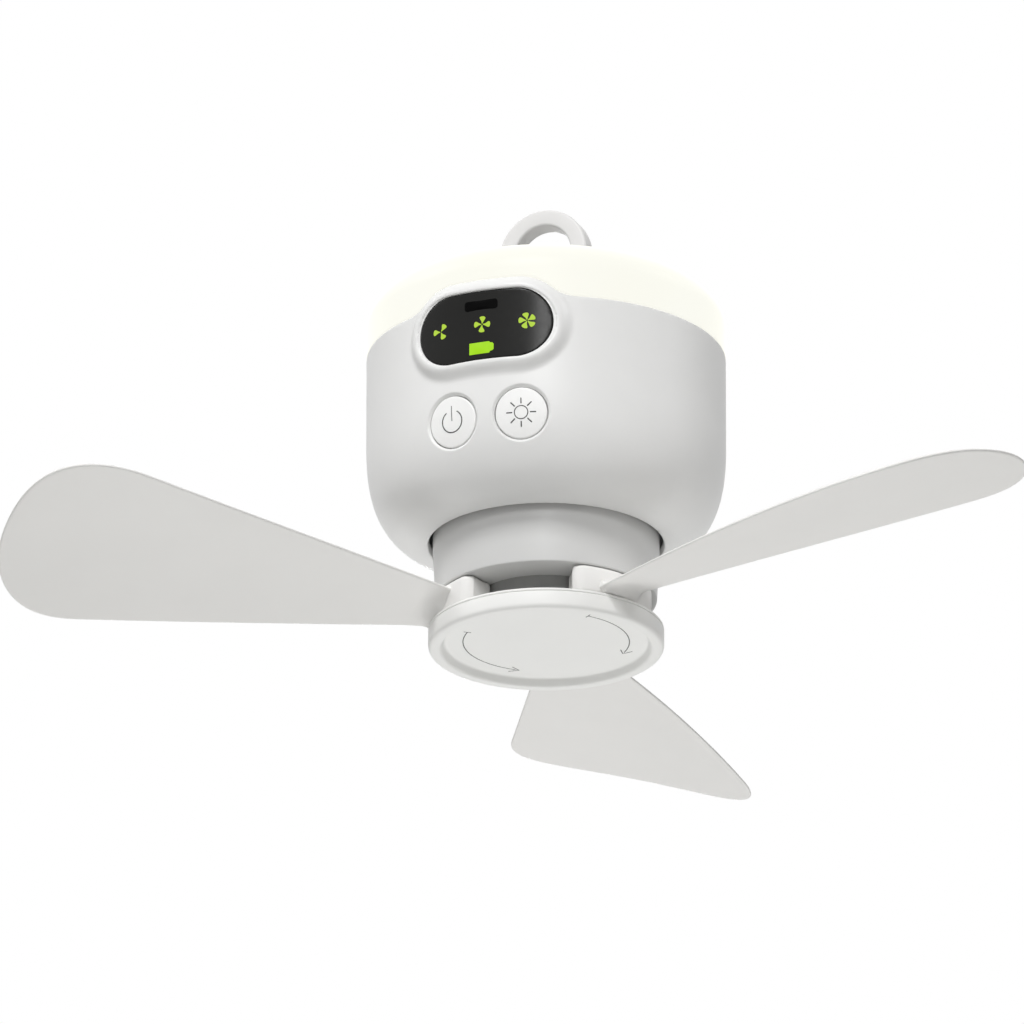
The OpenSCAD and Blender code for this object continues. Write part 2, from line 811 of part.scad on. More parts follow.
module blade_root() {
    end_r = 4;
    half = root_span / 2 - asin(end_r / (root_r - end_r));
    translate([0, 0, root_z]) rotate([0, 0, root_shift]) {
        rotate([0, 0, -half]) rotate_extrude(angle = 2 * half)
            translate([root_in_r, 0]) square([root_r - root_in_r, root_h]);
        for (side = [-1, 1]) rotate([0, 0, side * half]) {
            translate([root_r - end_r, 0, 0]) cylinder(r = end_r, h = root_h);
            translate([root_in_r + 2, 0, 0]) cylinder(r = 2, h = root_h);
        }
    }
    rotate([0, 0, root_shift])
        translate([root_in_r - tongue_len, -tongue_w / 2, tongue_z - tongue_t / 2])
            cube([tongue_len + 2, tongue_w, tongue_t]);
}

module blade(number) {
    color("gainsboro") facing(blade_turn + 120 * (number - 1)) {
        blade_root();
        blade_sheet();
    }
}

module blade_1() { blade(1); }
module blade_2() { blade(2); }
module blade_3() { blade(3); }

housing_shell();
lamp_diffuser();
ring_seat();
hanging_ring();
ring_pin();
lamp_base();
base_screws();
led_board();
lamp_leds();
display_window();
display_icons();
ir_window();
display_board();
power_button();
light_button();
switch_board();
button_switches();
main_board();
main_board_parts();
charge_port();
battery_cells();
battery_tray();
battery_lid();
wiring();
motor_bracket();
bracket_screws();
stator_core();
stator_coils();
motor_bearings();
motor_shaft();
motor_bell();
magnet_ring();
rotor_drum();
blade_hub();
hub_screws();
hub_cap();
blade_1();
blade_2();
blade_3();
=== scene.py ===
# Hanging camping fan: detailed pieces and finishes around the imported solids.
# Sizes in the dictionaries are millimetres and degrees; the finished meshes are in metres.
import math

import bpy
import bmesh
import numpy as np
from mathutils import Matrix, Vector
from mathutils.geometry import delaunay_2d_cdt


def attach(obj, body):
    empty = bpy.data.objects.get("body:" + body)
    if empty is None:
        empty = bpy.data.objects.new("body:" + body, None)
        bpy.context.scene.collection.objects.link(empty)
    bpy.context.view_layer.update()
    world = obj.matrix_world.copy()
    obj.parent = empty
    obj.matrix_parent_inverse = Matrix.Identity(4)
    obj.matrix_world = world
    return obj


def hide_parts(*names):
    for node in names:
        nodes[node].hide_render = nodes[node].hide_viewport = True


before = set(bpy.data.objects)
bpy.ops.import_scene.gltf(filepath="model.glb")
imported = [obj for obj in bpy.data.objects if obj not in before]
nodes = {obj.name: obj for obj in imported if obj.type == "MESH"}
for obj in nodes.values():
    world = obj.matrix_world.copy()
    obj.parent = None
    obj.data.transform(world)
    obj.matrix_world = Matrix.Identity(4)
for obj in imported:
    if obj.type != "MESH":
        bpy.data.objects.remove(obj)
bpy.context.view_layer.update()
mm = 0.001

# ---- camera ----

# elevation and azimuth of the eye, its distance in metres, and how the picture is framed
view = {"elevation": -21.45, "azimuth": 20, "distance": 6.0, "pixelsPerMetre": 3218,
        "targetZ": -0.0949, "axisPixel": 546.2, "frame": 1024, "sensor": 36}


def placeObject(name, data):
    placed = bpy.data.objects.new(name, data)
    bpy.context.collection.objects.link(placed)
    return placed


def makeCamera(v):
    tilt, turn = math.radians(v["elevation"]), math.radians(v["azimuth"])
    away = Vector((math.sin(turn) * math.cos(tilt), -math.cos(turn) * math.cos(tilt), math.sin(tilt)))
    data = bpy.data.cameras.new("camera")
    data.lens = v["pixelsPerMetre"] * v["distance"] * v["sensor"] / v["frame"]
    data.sensor_width = v["sensor"]
    data.shift_x = (v["frame"] / 2 - v["axisPixel"]) / v["frame"]
    data.clip_end = 50
    camera = placeObject("camera", data)
    camera.location = Vector((0, 0, v["targetZ"])) + away * v["distance"]
    camera.rotation_euler = (-away).to_track_quat("-Z", "Y").to_euler()
    bpy.context.scene.camera = camera


makeCamera(view)
print("camera ready")

# ---- materials ----


def toLinear(code):
    parts = [int(code[i:i + 2], 16) / 255 for i in (1, 3, 5)]
    return tuple(c / 12.92 if c <= 0.04045 else ((c + 0.055) / 1.055) ** 2.4 for c in parts) + (1.0,)


def addNode(tree, kind, values=None, links=None, **settings):
    # a link comes from an output, or from a node, whose first output it then is
    node = tree.nodes.new(kind)
    for key, value in settings.items():
        setattr(node, key, value)
    for key, value in (values or {}).items():
        node.inputs[key].default_value = value
    for key, source in (links or {}).items():
        output = source if isinstance(source, bpy.types.NodeSocket) else source.outputs[0]
        tree.links.new(output, node.inputs[key])
    return node


def startMaterial(name, color, roughness, **shader):
    # even values sit on the shader's own sockets
    material = bpy.data.materials.new(name)
    material.use_nodes = True
    tree = material.node_tree
    tree.nodes.clear()
    values = {"Base Color": toLinear(color), "Roughness": roughness}
    values.update({key.replace("_", " "): value for key, value in shader.items()})
    principled = addNode(tree, "ShaderNodeBsdfPrincipled", values)
    addNode(tree, "ShaderNodeOutputMaterial", links={"Surface": principled})
    place = addNode(tree, "ShaderNodeTexCoord").outputs["Object"]
    return material, tree, principled, place


def layFinish(start, tones, mask, relief, depth, gloss=None, target="Base Color"):
    # two tones mixed by a mask, and a bump of depth mm and a range of roughness that follow a relief
    material, tree, principled = start[:3]
    mixed = addNode(tree, "ShaderNodeMix", {6: toLinear(tones[0]), 7: toLinear(tones[1])}, {0: mask},
                    data_type="RGBA")
    tree.links.new(mixed.outputs[2], principled.inputs[target])
    bump = addNode(tree, "ShaderNodeBump", {"Distance": depth * mm}, {"Height": relief})
    tree.links.new(bump.outputs[0], principled.inputs["Normal"])
    if gloss:
        rough = addNode(tree, "ShaderNodeMapRange", {"To Min": gloss[0], "To Max": gloss[1]},
                        {"Value": relief})
        tree.links.new(rough.outputs[0], principled.inputs["Roughness"])
    return material


def mottledFinish(name, color, shade, roughness, spread=0.05, patch=18, grain=0.5, depth=0.004,
                  target="Base Color", **shader):
    # two tones in soft patches, and a fine grain that breaks the gloss; patch, grain and depth in mm
    start = startMaterial(name, color, roughness, **shader)
    tree, place = start[1], start[3]
    patches = addNode(tree, "ShaderNodeTexNoise", {"Scale": 1 / (patch * mm), "Detail": 3.0},
                      {"Vector": place})
    fine = addNode(tree, "ShaderNodeTexNoise", {"Scale": 1 / (grain * mm)}, {"Vector": place})
    return layFinish(start, (color, shade), patches, fine, depth,
                     (roughness - spread, roughness + spread), target)


def linedMetal(name, color, shade, roughness, pitch=0.3, depth=0.004, spread=0.1, metallic=1.0, **shader):
    # fine lines across Z, one per pitch in mm, left by the lathe, the mill or the stacking
    start = startMaterial(name, color, roughness, Metallic=metallic, **shader)
    lines = addNode(start[1], "ShaderNodeTexWave", {"Scale": 1 / (20 * pitch * mm), "Distortion": 1.5},
                    {"Vector": start[3]}, bands_direction="Z").outputs[1]
    return layFinish(start, (color, shade), lines, lines, depth, (roughness, roughness + spread))


def maskedBoard(name, mask, track, spacing=3, depth=0.03):
    # board under solder mask: the copper tracks stand a little higher and lighter; spacing and depth in mm
    start = startMaterial(name, mask, 0.35)
    cells = addNode(start[1], "ShaderNodeTexVoronoi", {"Scale": 1 / (spacing * mm)}, {"Vector": start[3]},
                    distance="MANHATTAN")
    tracks = addNode(start[1], "ShaderNodeMapRange", {"From Min": 0.5, "From Max": 0.54},
                     {"Value": cells})
    return layFinish(start, (mask, track), tracks, tracks, depth)


def makeMaterials():
    made = {}
    # ABS, injection moulded in a spark-eroded mould: soft sheen, faint grain and slight flow patches.
    # The real grain is about 0.05 mm; here it is drawn coarser, so that it shows.
    made["housing"] = mottledFinish("moulded_abs_white", "#ececeb", "#e7e7e6", 0.4)
    # the drum's grey is a slightly greyer ABS, made darker still as painted shade for the shade that falls on
    # it under the housing
    made["drum"] = mottledFinish("moulded_abs_drum_grey_painted_shade", "#d6d6d5", "#d1d1d0", 0.4)
    made["ring"] = mottledFinish("moulded_abs_pearl_grey", "#e4e3e2", "#dedddc", 0.45)
    made["blade"] = mottledFinish("moulded_abs_blade_white", "#f0efed", "#ecebe9", 0.6, patch=25,
                                  Specular_IOR_Level=0.2)
    made["cap"] = mottledFinish("moulded_abs_cap_white", "#f4f4f2", "#f0f0ee", 0.45)
    # the keys' whiter ABS is partly painted light: it is lighter than the housing to stand for the light on
    # their faces
    made["key"] = mottledFinish("moulded_abs_key_white_painted_light", "#f8f8f7", "#f4f4f3", 0.4, grain=0.4)
    made["inner"] = mottledFinish("moulded_abs_inner_white", "#dfdfdd", "#d8d8d6", 0.6,
                                  Specular_IOR_Level=0.25)
    made["tray"] = mottledFinish("moulded_abs_charcoal", "#3c3c3e", "#343436", 0.5)
    # nylon with glass fibre: duller, with a coarser, cloudier surface; its grey is partly painted shade, made
    # darker for the shaded gap between drum and cap
    made["hub"] = mottledFinish("glass_filled_nylon_grey_painted_shade", "#a6a6a5", "#979796", 0.55, patch=4, grain=0.8,
                                depth=0.015)
    # epoxy moulding compound of chips and switches
    made["black"] = mottledFinish("moulded_epoxy_black", "#17171a", "#1f1f22", 0.45, patch=6)
    # opal polycarbonate lit from inside: even warm white, a little deeper where the light spreads thinner
    made["opal"] = mottledFinish("opal_polycarbonate_lit", "#fffff7", "#fffef2", 0.4, patch=30, depth=0.002,
                                 target="Emission Color", Emission_Strength=0.86,
                                 Base_Color=toLinear("#5c5c59"), Specular_IOR_Level=0.1)
    # hard-coated tinted acrylic: deep black under a clean gloss, with faint handling marks
    made["window"] = mottledFinish("tinted_acrylic_black", "#20201f", "#1c1c1b", 0.24, spread=0.04, patch=9,
                                   grain=1.5, depth=0.0005, Specular_IOR_Level=0.14)
    # infrared filter: darker than the acrylic round it
    made["filter"] = mottledFinish("infrared_filter_black", "#030303", "#020202", 0.5,
                                   Specular_IOR_Level=0.03)
    # printed film with light behind it, a little uneven
    film = {"depth": 0.002, "target": "Emission Color", "Emission_Strength": 0.78, "Specular_IOR_Level": 0.15,
            "Base_Color": toLinear("#3c4a10")}
    made["icon"] = mottledFinish("backlit_film_lime", "#c8ea52", "#b8db3c", 0.5, patch=1.2, **film)
    made["battery"] = mottledFinish("backlit_film_green", "#b4f426", "#aae816", 0.5, patch=2.5, **film)
    # pad-printed ink: thin, dry and slightly broken
    made["ink"] = mottledFinish("pad_printed_ink_grey", "#2c2c2c", "#4c4c4c", 0.6, patch=0.5)
    # heat-shrink sleeve of the cells: taut glossy film with soft waves
    made["sleeve"] = mottledFinish("heat_shrunk_sleeve_teal", "#207179", "#1a656d", 0.25, patch=12, grain=5,
                                   depth=0.08)
    # silicone insulation: soft and slightly waxy
    made["lead"] = mottledFinish("silicone_lead_red", "#a0201b", "#8c1a16", 0.42, patch=5, grain=1.2,
                                 Sheen_Weight=0.2)
    # pressed ferrite: dull and gritty
    made["magnet"] = mottledFinish("pressed_ferrite", "#2e2e30", "#262628", 0.7, patch=2, grain=0.4,
                                   depth=0.03)
    # phosphor resin cast over the LED chips
    made["phosphor"] = mottledFinish("cast_phosphor_resin", "#f6e08a", "#ecd060", 0.35, patch=0.8,
                                     target="Emission Color", Emission_Strength=0.4)
    made["board"] = maskedBoard("glass_fibre_board_green", "#0c4a26", "#1c6a3a")
    made["whiteBoard"] = maskedBoard("aluminium_core_board_white", "#ecece6", "#dfdfd8")
    made["screw"] = linedMetal("zinc_plated_steel", "#9d9fa3", "#8b8d91", 0.3)
    made["bearing"] = linedMetal("ground_bearing_steel", "#c6c8cc", "#b6b8bc", 0.16)
    made["bell"] = linedMetal("turned_mild_steel", "#8a8c90", "#77797d", 0.32)
    made["bracket"] = linedMetal("rolled_aluminium", "#cfd0d2", "#c0c1c3", 0.35, pitch=0.5)
    made["socket"] = linedMetal("nickel_plated_steel", "#c9c8c4", "#bbbab6", 0.22)
    # enamelled copper wire, 0.35 mm thick, laid turn beside turn
    made["copper"] = linedMetal("enamelled_copper_wire", "#c46a35", "#9a4a1a", 0.28, pitch=0.35, depth=0.1,
                                Coat_Weight=0.6)
    # steel sheets, stamped and stacked, 0.5 mm each
    made["core"] = linedMetal("stamped_steel_sheets", "#676b72", "#4c5057", 0.45, pitch=0.5, depth=0.06,
                              metallic=0.9)
    return made


materials = makeMaterials()
nodeFinish = {
    "ring_pin": "bearing", "lamp_base": "inner", "led_board": "whiteBoard", "display_board": "board",
    "switch_board": "board", "button_switches": "black", "main_board": "board", "main_board_parts": "black",
    "charge_port": "socket", "battery_cells": "sleeve", "battery_tray": "tray", "battery_lid": "tray",
    "wiring": "lead", "motor_bracket": "bracket", "stator_core": "core", "stator_coils": "copper",
    "motor_bearings": "bearing", "motor_shaft": "bearing", "motor_bell": "bell", "magnet_ring": "magnet",
    "blade_hub": "hub"}
for nodeName, finish in nodeFinish.items():
    nodes[nodeName].data.materials.clear()
    nodes[nodeName].data.materials.append(materials[finish])
print("materials ready:", len(materials))

# ---- mesh tools ----


def meshObject(name, points, faces):
    # points in mm
    mesh = bpy.data.meshes.new(name)
    mesh.from_pydata([tuple(p) for p in np.asarray(points, float) * mm], [],
                     [tuple(int(i) for i in face) for face in faces])
    return placeObject(name, mesh)


def tidyMesh(piece, sharpAngle=38):
    # welded, facing outwards, and smooth except where it folds more than sharpAngle
    work = bmesh.new()
    work.from_mesh(piece.data)
    bmesh.ops.remove_doubles(work, verts=work.verts, dist=1e-6)
    bmesh.ops.recalc_face_normals(work, faces=work.faces)
    for edge in work.edges:
        edge.smooth = edge.calc_face_angle(0) < math.radians(sharpAngle)
    for face in work.faces:
        face.smooth = True
    work.to_mesh(piece.data)
    work.free()


def settle(piece):
    # result of the modifiers as a plain mesh
    seen = piece.evaluated_get(bpy.context.evaluated_depsgraph_get())
    mesh = bpy.data.meshes.new_from_object(seen)
    piece.modifiers.clear()
    piece.data = mesh


def carve(piece, points, faces):
    cutter = meshObject("cutter", points, faces)
    tidyMesh(cutter)
    tidyMesh(piece)
    cut = piece.modifiers.new("carve", "BOOLEAN")
    cut.operation, cut.solver, cut.object = "DIFFERENCE", "EXACT", cutter
    settle(piece)
    bpy.data.objects.remove(cutter)


def finishPiece(piece, finish, body, slot, replaced=(), sharpAngle=38):
    tidyMesh(piece, sharpAngle)
    piece.data.materials.clear()
    piece.data.materials.append(materials[finish])
    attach(piece, body)
    if replaced:
        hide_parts(*replaced)
    print(piece.name + ":", len(piece.data.polygons), "faces")


def makePiece(name, shape, *details):
    # a shape is its (points, faces), in mm; the details are those of finishPiece
    finishPiece(meshObject(name, *shape), *details)


def joined(parts):
    # several shapes as one
    points, faces = [], []
    for more, theirFaces in parts:
        faces += [[i + len(points) for i in face] for face in theirFaces]
        points += [tuple(p) for p in more]
    return points, faces


def loft(loops, startCap=True, endCap=True):
    # skin over loops of equal length
    count = len(loops[0])
    points = [tuple(p) for loop in loops for p in loop]
    faces = []
    for j in range(len(loops) - 1):
        for i in range(count):
            n = (i + 1) % count
            faces.append((j * count + i, j * count + n, (j + 1) * count + n, (j + 1) * count + i))
    if startCap:
        faces.append(tuple(range(count)))
    if endCap:
        faces.append(tuple((len(loops) - 1) * count + i for i in range(count)))
    return points, faces


def swept(section, angles):
    # skin of an upright section of (radius, height) points, carried round the Z axis through angles
    return loft([[(r * math.cos(a), r * math.sin(a), z) for r, z in section] for a in angles])


def rowsOf(*columns):
    # columns of coordinates as rows of points; a plain number fills its column
    return np.stack(np.broadcast_arrays(*columns), -1)


def flatLoop(loop, z):
    return np.column_stack([loop, np.full(len(loop), float(z))])


def arcPoints(radius, turn, x=0.0, y=0.0):
    return rowsOf(x + radius * np.cos(turn), y + radius * np.sin(turn))


def circleLoop(radius, count=96, x=0.0, y=0.0):
    return arcPoints(radius, np.linspace(0, 2 * math.pi, count, endpoint=False), x, y)


def pillLoop(width, height, count):
    half, radius = (width - height) / 2, height / 2
    right = arcPoints(radius, np.linspace(-math.pi / 2, math.pi / 2, count), half)
    top = rowsOf(np.linspace(half, -half, 24)[1:-1], radius)
    return np.concatenate([right, top, -right, -top])


def roundedRectangle(width, height, radius, steps=6):
    loop = []
    for k, (sx, sy) in enumerate(((1, 1), (-1, 1), (-1, -1), (1, -1))):
        turn = math.pi / 2 * (k + np.linspace(0, 1, steps))
        loop.append(arcPoints(radius, turn, sx * (width / 2 - radius), sy * (height / 2 - radius)))
    return np.concatenate(loop)


def smoothLoop(points, steps=5):
    # closed curve through the points
    points = np.array(points, float)
    a, b, c, d = (np.roll(points, k, 0)[:, None] for k in (1, 0, -1, -2))
    t = np.linspace(0, 1, steps, endpoint=False)[None, :, None]
    curve = 0.5 * (2 * b + (c - a) * t + (2 * a - 5 * b + 4 * c - d) * t ** 2
                   + (3 * b - 3 * c + d - a) * t ** 3)
    return curve.reshape(-1, 2)


def roundedCorners(corners, steps=5):
    # open outline of (x, y, radius) with its corners rounded
    result = [corners[0][:2]]
    for before, here, after in zip(corners, corners[1:], corners[2:]):
        here, radius = np.array(here[:2], float), here[2]
        a, b = np.array(before[:2]) - here, np.array(after[:2]) - here
        a, b = a / np.hypot(*a), b / np.hypot(*b)
        reach = radius / math.tan(math.acos(np.clip(a @ b, -1, 1)) / 2)
        for t in np.linspace(0, 1, steps + 1):
            result.append(tuple(here + a * reach * (1 - t) ** 2 + b * reach * t ** 2))
    return result + [corners[-1][:2]]


def strokeLoop(path, width):
    # outline of a pen stroke with round ends
    path = np.array(path, float)
    left, right = offsetPath(path, -width / 2), offsetPath(path, width / 2)
    ends = []
    for tip, side in ((path[-1], right[-1]), (path[0], left[0])):
        start = math.atan2(*(side - tip)[::-1])
        ends.append(arcPoints(width / 2, start + np.linspace(0, math.pi, 7)[1:-1], *tip))
    return np.concatenate([right, ends[0], left[::-1], ends[1]])


def insideLoop(points, loop):
    x, y = points[:, 0], points[:, 1]
    inside = np.zeros(len(points), bool)
    for (x0, y0), (x1, y1) in zip(loop, np.roll(loop, -1, 0)):
        crosses = (y0 > y) != (y1 > y)
        if crosses.any():
            inside[crosses] ^= x[crosses] < (x1 - x0) * (y[crosses] - y0) / (y1 - y0) + x0
    return inside


def distanceTo(points, line):
    nearest = np.full(len(points), np.inf)
    for start, run in zip(line[:-1], np.diff(line, axis=0)):
        away = points - start
        away = away - np.clip(away @ run / max(run @ run, 1e-12), 0, 1)[:, None] * run
        nearest = np.minimum(nearest, np.hypot(away[:, 0], away[:, 1]))
    return nearest


def closedLine(loop):
    return np.concatenate([loop, loop[:1]])


def meshRegion(outlines, fill=(), clearance=0.05):
    # triangles inside the first outline and outside the others, with fill points kept clear of the outlines
    border = np.concatenate(outlines)
    fill = np.array(fill, float).reshape(-1, 2)
    for loop in outlines:
        fill = fill[distanceTo(fill, closedLine(loop)) > clearance]
    edges, starts = [], np.cumsum([0] + [len(loop) for loop in outlines])
    for start, loop in zip(starts, outlines):
        edges += [(start + i, start + (i + 1) % len(loop)) for i in range(len(loop))]
    given = np.concatenate([border, fill])
    made = delaunay_2d_cdt([Vector(p) for p in given], edges, [], 0, 1e-7)
    flat = np.array([tuple(p) for p in made[0]])
    triangles = np.array([tuple(f) for f in made[2]])
    middle = flat[triangles].mean(1)
    keep = insideLoop(middle, outlines[0])
    for loop in outlines[1:]:
        keep &= ~insideLoop(middle, loop)
    source = np.array([ids[0] if ids else -1 for ids in made[3]])
    flat[source >= 0] = given[source[source >= 0]]                 # back to full precision
    owner = np.searchsorted(starts, source, side="right") - 1      # which outline a point lies on
    owner[(source < 0) | (source >= starts[-1])] = -1
    return flat, triangles[keep], owner


def plate(flat, triangles, outer, inner, isSeam=None):
    # closed wall between two maps of the same flat region
    count = len(flat)
    faces = [tuple(t) for t in triangles] + [tuple(t[::-1] + count) for t in triangles]
    directed = {(t[i], t[(i + 1) % 3]) for t in triangles.tolist() for i in range(3)}
    for a, b in directed:
        if (b, a) not in directed and not (isSeam is not None and isSeam[a] and isSeam[b]):
            faces.append((b, a, a + count, b + count))
    used = np.unique([i for face in faces for i in face])
    index = np.zeros(2 * count, int)
    index[used] = np.arange(len(used))
    return np.concatenate([outer, inner])[used], [[int(index[i]) for i in face] for face in faces]


def inlay(outlines, outerMap, innerMap, fill=()):
    flat, triangles, _ = meshRegion(outlines, fill)
    return plate(flat, triangles, outerMap(flat), innerMap(flat))


def gridPoints(x0, x1, dx, y0, y1, dy):
    x = np.linspace(x0, x1, max(2, int(round((x1 - x0) / dx)) + 1))
    y = np.linspace(y0, y1, max(2, int(round((y1 - y0) / dy)) + 1))
    return np.stack(np.meshgrid(x, y), -1).reshape(-1, 2)


def offsetPath(path, distance):
    # path moved to its right
    along = np.gradient(path, axis=0)
    along /= np.hypot(along[:, 0], along[:, 1])[:, None]
    return path + distance * along[:, ::-1] * (1, -1)


def edgeDrop(distance, radius):
    # how far a rounded edge falls back at a distance from the edge
    inside = np.clip(radius - distance, 0, radius)
    return radius - np.sqrt(radius ** 2 - inside ** 2)


def turned(points, degrees):
    a = math.radians(degrees)
    x, y, z = np.asarray(points, float).T
    return rowsOf(x * math.cos(a) - y * math.sin(a), x * math.sin(a) + y * math.cos(a), z)


def placesAround(radius, angles, z):
    # places in mm round the Z axis, at angles in degrees
    return [(radius * math.cos(math.radians(a)), radius * math.sin(math.radians(a)), z) for a in angles]


# ---- Geometry Nodes trees ----


def startTree(name, inputs):
    tree = bpy.data.node_groups.new(name, "GeometryNodeTree")
    tree.interface.new_socket("Geometry", in_out="INPUT", socket_type="NodeSocketGeometry")
    for label, kind in inputs.items():
        tree.interface.new_socket(label, in_out="INPUT", socket_type="NodeSocket" + kind)
    tree.interface.new_socket("Geometry", in_out="OUTPUT", socket_type="NodeSocketGeometry")
    return tree, addNode(tree, "NodeGroupInput").outputs


def endTree(tree, geometry, finish):
    real = addNode(tree, "GeometryNodeRealizeInstances", links={0: geometry})
    painted = addNode(tree, "GeometryNodeSetMaterial", links={0: real, "Material": finish})
    addNode(tree, "NodeGroupOutput", links={0: painted})
    return tree


def makeCopiesTree():
    # one copy on each point, each turned to face away from the Z axis
    tree, given = startTree("copiesOnPoints", {"Copy": "Object", "Turn": "Float", "Size": "Float",
                                              "Finish": "Material"})
    place = addNode(tree, "GeometryNodeInputPosition")
    parts = addNode(tree, "ShaderNodeSeparateXYZ", links={0: place}).outputs
    facing = addNode(tree, "ShaderNodeMath", links={0: parts[1], 1: parts[0]}, operation="ARCTAN2")
    angle = addNode(tree, "ShaderNodeMath", links={0: facing, 1: given["Turn"]}, operation="ADD")
    spin = addNode(tree, "ShaderNodeCombineXYZ", links={2: angle})
    rotation = addNode(tree, "FunctionNodeEulerToRotation", links={0: spin})
    copy = addNode(tree, "GeometryNodeObjectInfo", links={"Object": given["Copy"]})
    placed = addNode(tree, "GeometryNodeInstanceOnPoints",
                     links={"Points": given["Geometry"], "Instance": copy.outputs["Geometry"],
                            "Rotation": rotation, "Scale": given["Size"]})
    return endTree(tree, placed, given["Finish"])


def makeLatheTree():
    # profile of (radius, 0, height) points turned round the Z axis
    tree, given = startTree("turnedProfile", {"Segments": "Int", "Weld": "Float", "Finish": "Material"})
    rows = addNode(tree, "GeometryNodeAttributeDomainSize", links={0: given["Geometry"]})
    columns = addNode(tree, "ShaderNodeMath", {1: 1.0}, {0: given["Segments"]}, operation="ADD")
    grid = addNode(tree, "GeometryNodeMeshGrid", links={"Vertices X": rows.outputs["Point Count"],
                                                        "Vertices Y": columns})
    index = addNode(tree, "GeometryNodeInputIndex")
    share = addNode(tree, "ShaderNodeMath", links={0: index, 1: columns}, operation="DIVIDE")
    row = addNode(tree, "ShaderNodeMath", links={0: share}, operation="FLOOR")
    column = addNode(tree, "ShaderNodeMath", links={0: index, 1: columns}, operation="MODULO")
    step = addNode(tree, "ShaderNodeMath", {0: 2 * math.pi}, {1: given["Segments"]}, operation="DIVIDE")
    angle = addNode(tree, "ShaderNodeMath", links={0: column, 1: step},
                    operation="MULTIPLY")
    place = addNode(tree, "GeometryNodeInputPosition")
    profile = addNode(tree, "GeometryNodeSampleIndex", data_type="FLOAT_VECTOR",
                      links={"Geometry": given["Geometry"], "Value": place, "Index": row})
    parts = addNode(tree, "ShaderNodeSeparateXYZ", links={0: profile}).outputs
    turns = []
    for operation in ("COSINE", "SINE"):
        wave = addNode(tree, "ShaderNodeMath", links={0: angle}, operation=operation)
        turns.append(addNode(tree, "ShaderNodeMath", links={0: wave, 1: parts[0]},
                             operation="MULTIPLY"))
    spot = addNode(tree, "ShaderNodeCombineXYZ", links={0: turns[0], 1: turns[1], 2: parts[2]})
    shaped = addNode(tree, "GeometryNodeSetPosition", links={"Geometry": grid.outputs["Mesh"],
                                                             "Position": spot})
    welded = addNode(tree, "GeometryNodeMergeByDistance", links={"Geometry": shaped,
                                                                 "Distance": given["Weld"]})
    return endTree(tree, welded, given["Finish"])


def growMesh(piece, tree, values):
    grown = piece.modifiers.new("grown", "NODES")
    grown.node_group = tree
    for item in tree.interface.items_tree:
        if item.in_out == "INPUT" and item.name in values:
            grown[item.identifier] = values[item.name]
    settle(piece)


copiesTree, latheTree = makeCopiesTree(), makeLatheTree()
nearAxis = 0.01                                          # places this near to the axis only turn their copies


def copyPiece(name, shape, places, finish):
    # copies of a shape on places in mm, as one plain mesh
    pattern = meshObject("pattern", *shape)
    tidyMesh(pattern)
    piece = meshObject(name, places, [])
    growMesh(piece, copiesTree, {"Copy": pattern, "Turn": 0.0, "Size": 1.0, "Finish": materials[finish]})
    bpy.data.objects.remove(pattern)
    return piece


def takeShape(piece):
    # shape of a helper piece, which goes
    shape = (np.array([v.co for v in piece.data.vertices]) / mm,
             [tuple(f.vertices) for f in piece.data.polygons])
    bpy.data.objects.remove(piece)
    return shape


def lathePiece(name, profile, finish, segments=180):
    # profile of (radius, height) in mm
    line = meshObject(name, [(r, 0, z) for r, z in profile], [])
    growMesh(line, latheTree, {"Segments": segments, "Weld": 0.001 * mm, "Finish": materials[finish]})
    return line


print("trees ready")

# ---- housing ----

housing = {"radius": 56.0, "wall": 2.5, "seamZ": -44.8, "floorZ": -106.8, "edge": 0.3, "tabRoom": 12,
           "cornerWidth": 26.4, "cornerHeight": 35.5, "cornerPower": 2.8,
           "openingRadius": 36.7, "openingEdge": 0.5,
           "windowWidth": 44.0, "windowHeight": 23.0, "windowDrop": 9.4, "windowEdge": 0.45,
           "surroundOut": 2.4, "rimWidth": 1.0, "surroundWidth": 5.0, "tabRadius": 15.9, "tabFillet": 10.0,
           "buttonAngle": 11.9, "buttonDrop": 38.4, "holeRadius": 8.4, "mouthRadius": 9.15, "mouthDepth": 0.9,
           "slotWidth": 9.6, "slotHeight": 3.9, "slotZ": -63.6, "slotEdge": 0.4, "pilotRadius": 1.0,
           "lampPosts": {"angles": (20, 160, 200, 340), "place": 48.0, "top": -49.8, "radius": 3.5},
           "motorPosts": {"angles": (45, 135, 225, 315), "place": 40.2, "top": -96.2, "radius": 3.1},
           "boardPegs": {"x": 15, "foot": -52.6, "end": -48.6, "drop": 13.4, "radius": 1.9},
           "switchPegs": {"rise": 11.2, "foot": 54.8, "end": 45.6, "radius": 1.6}}
# spacing of the mesh points, and the rows that draw each rounded edge
housingMesh = {"around": 2.2, "down": 2.0, "corner": 1.0, "cornerFrom": 26, "first": 0.9, "last": 0.8,
               "fine": 0.8, "frontHalf": 36, "frontFrom": -7, "frontTo": 52, "frontGap": 0.5,
               "windowRows": (0.1, 0.22, 0.45, 0.75, 1.0, 1.4), "mouthRows": (8.7, 9.05, 9.3, 9.4, 9.8),
               "edgeRows": (0.1, 0.2, 0.35, 0.55), "allRound": 240}
windowZ = housing["seamZ"] - housing["windowDrop"]
buttonZ = housing["seamZ"] - housing["buttonDrop"]
frontTurn = 1.5 * math.pi
buttonTurns = [frontTurn + side * math.radians(housing["buttonAngle"]) for side in (-1, 1)]
aroundLength = 2 * math.pi * housing["radius"]


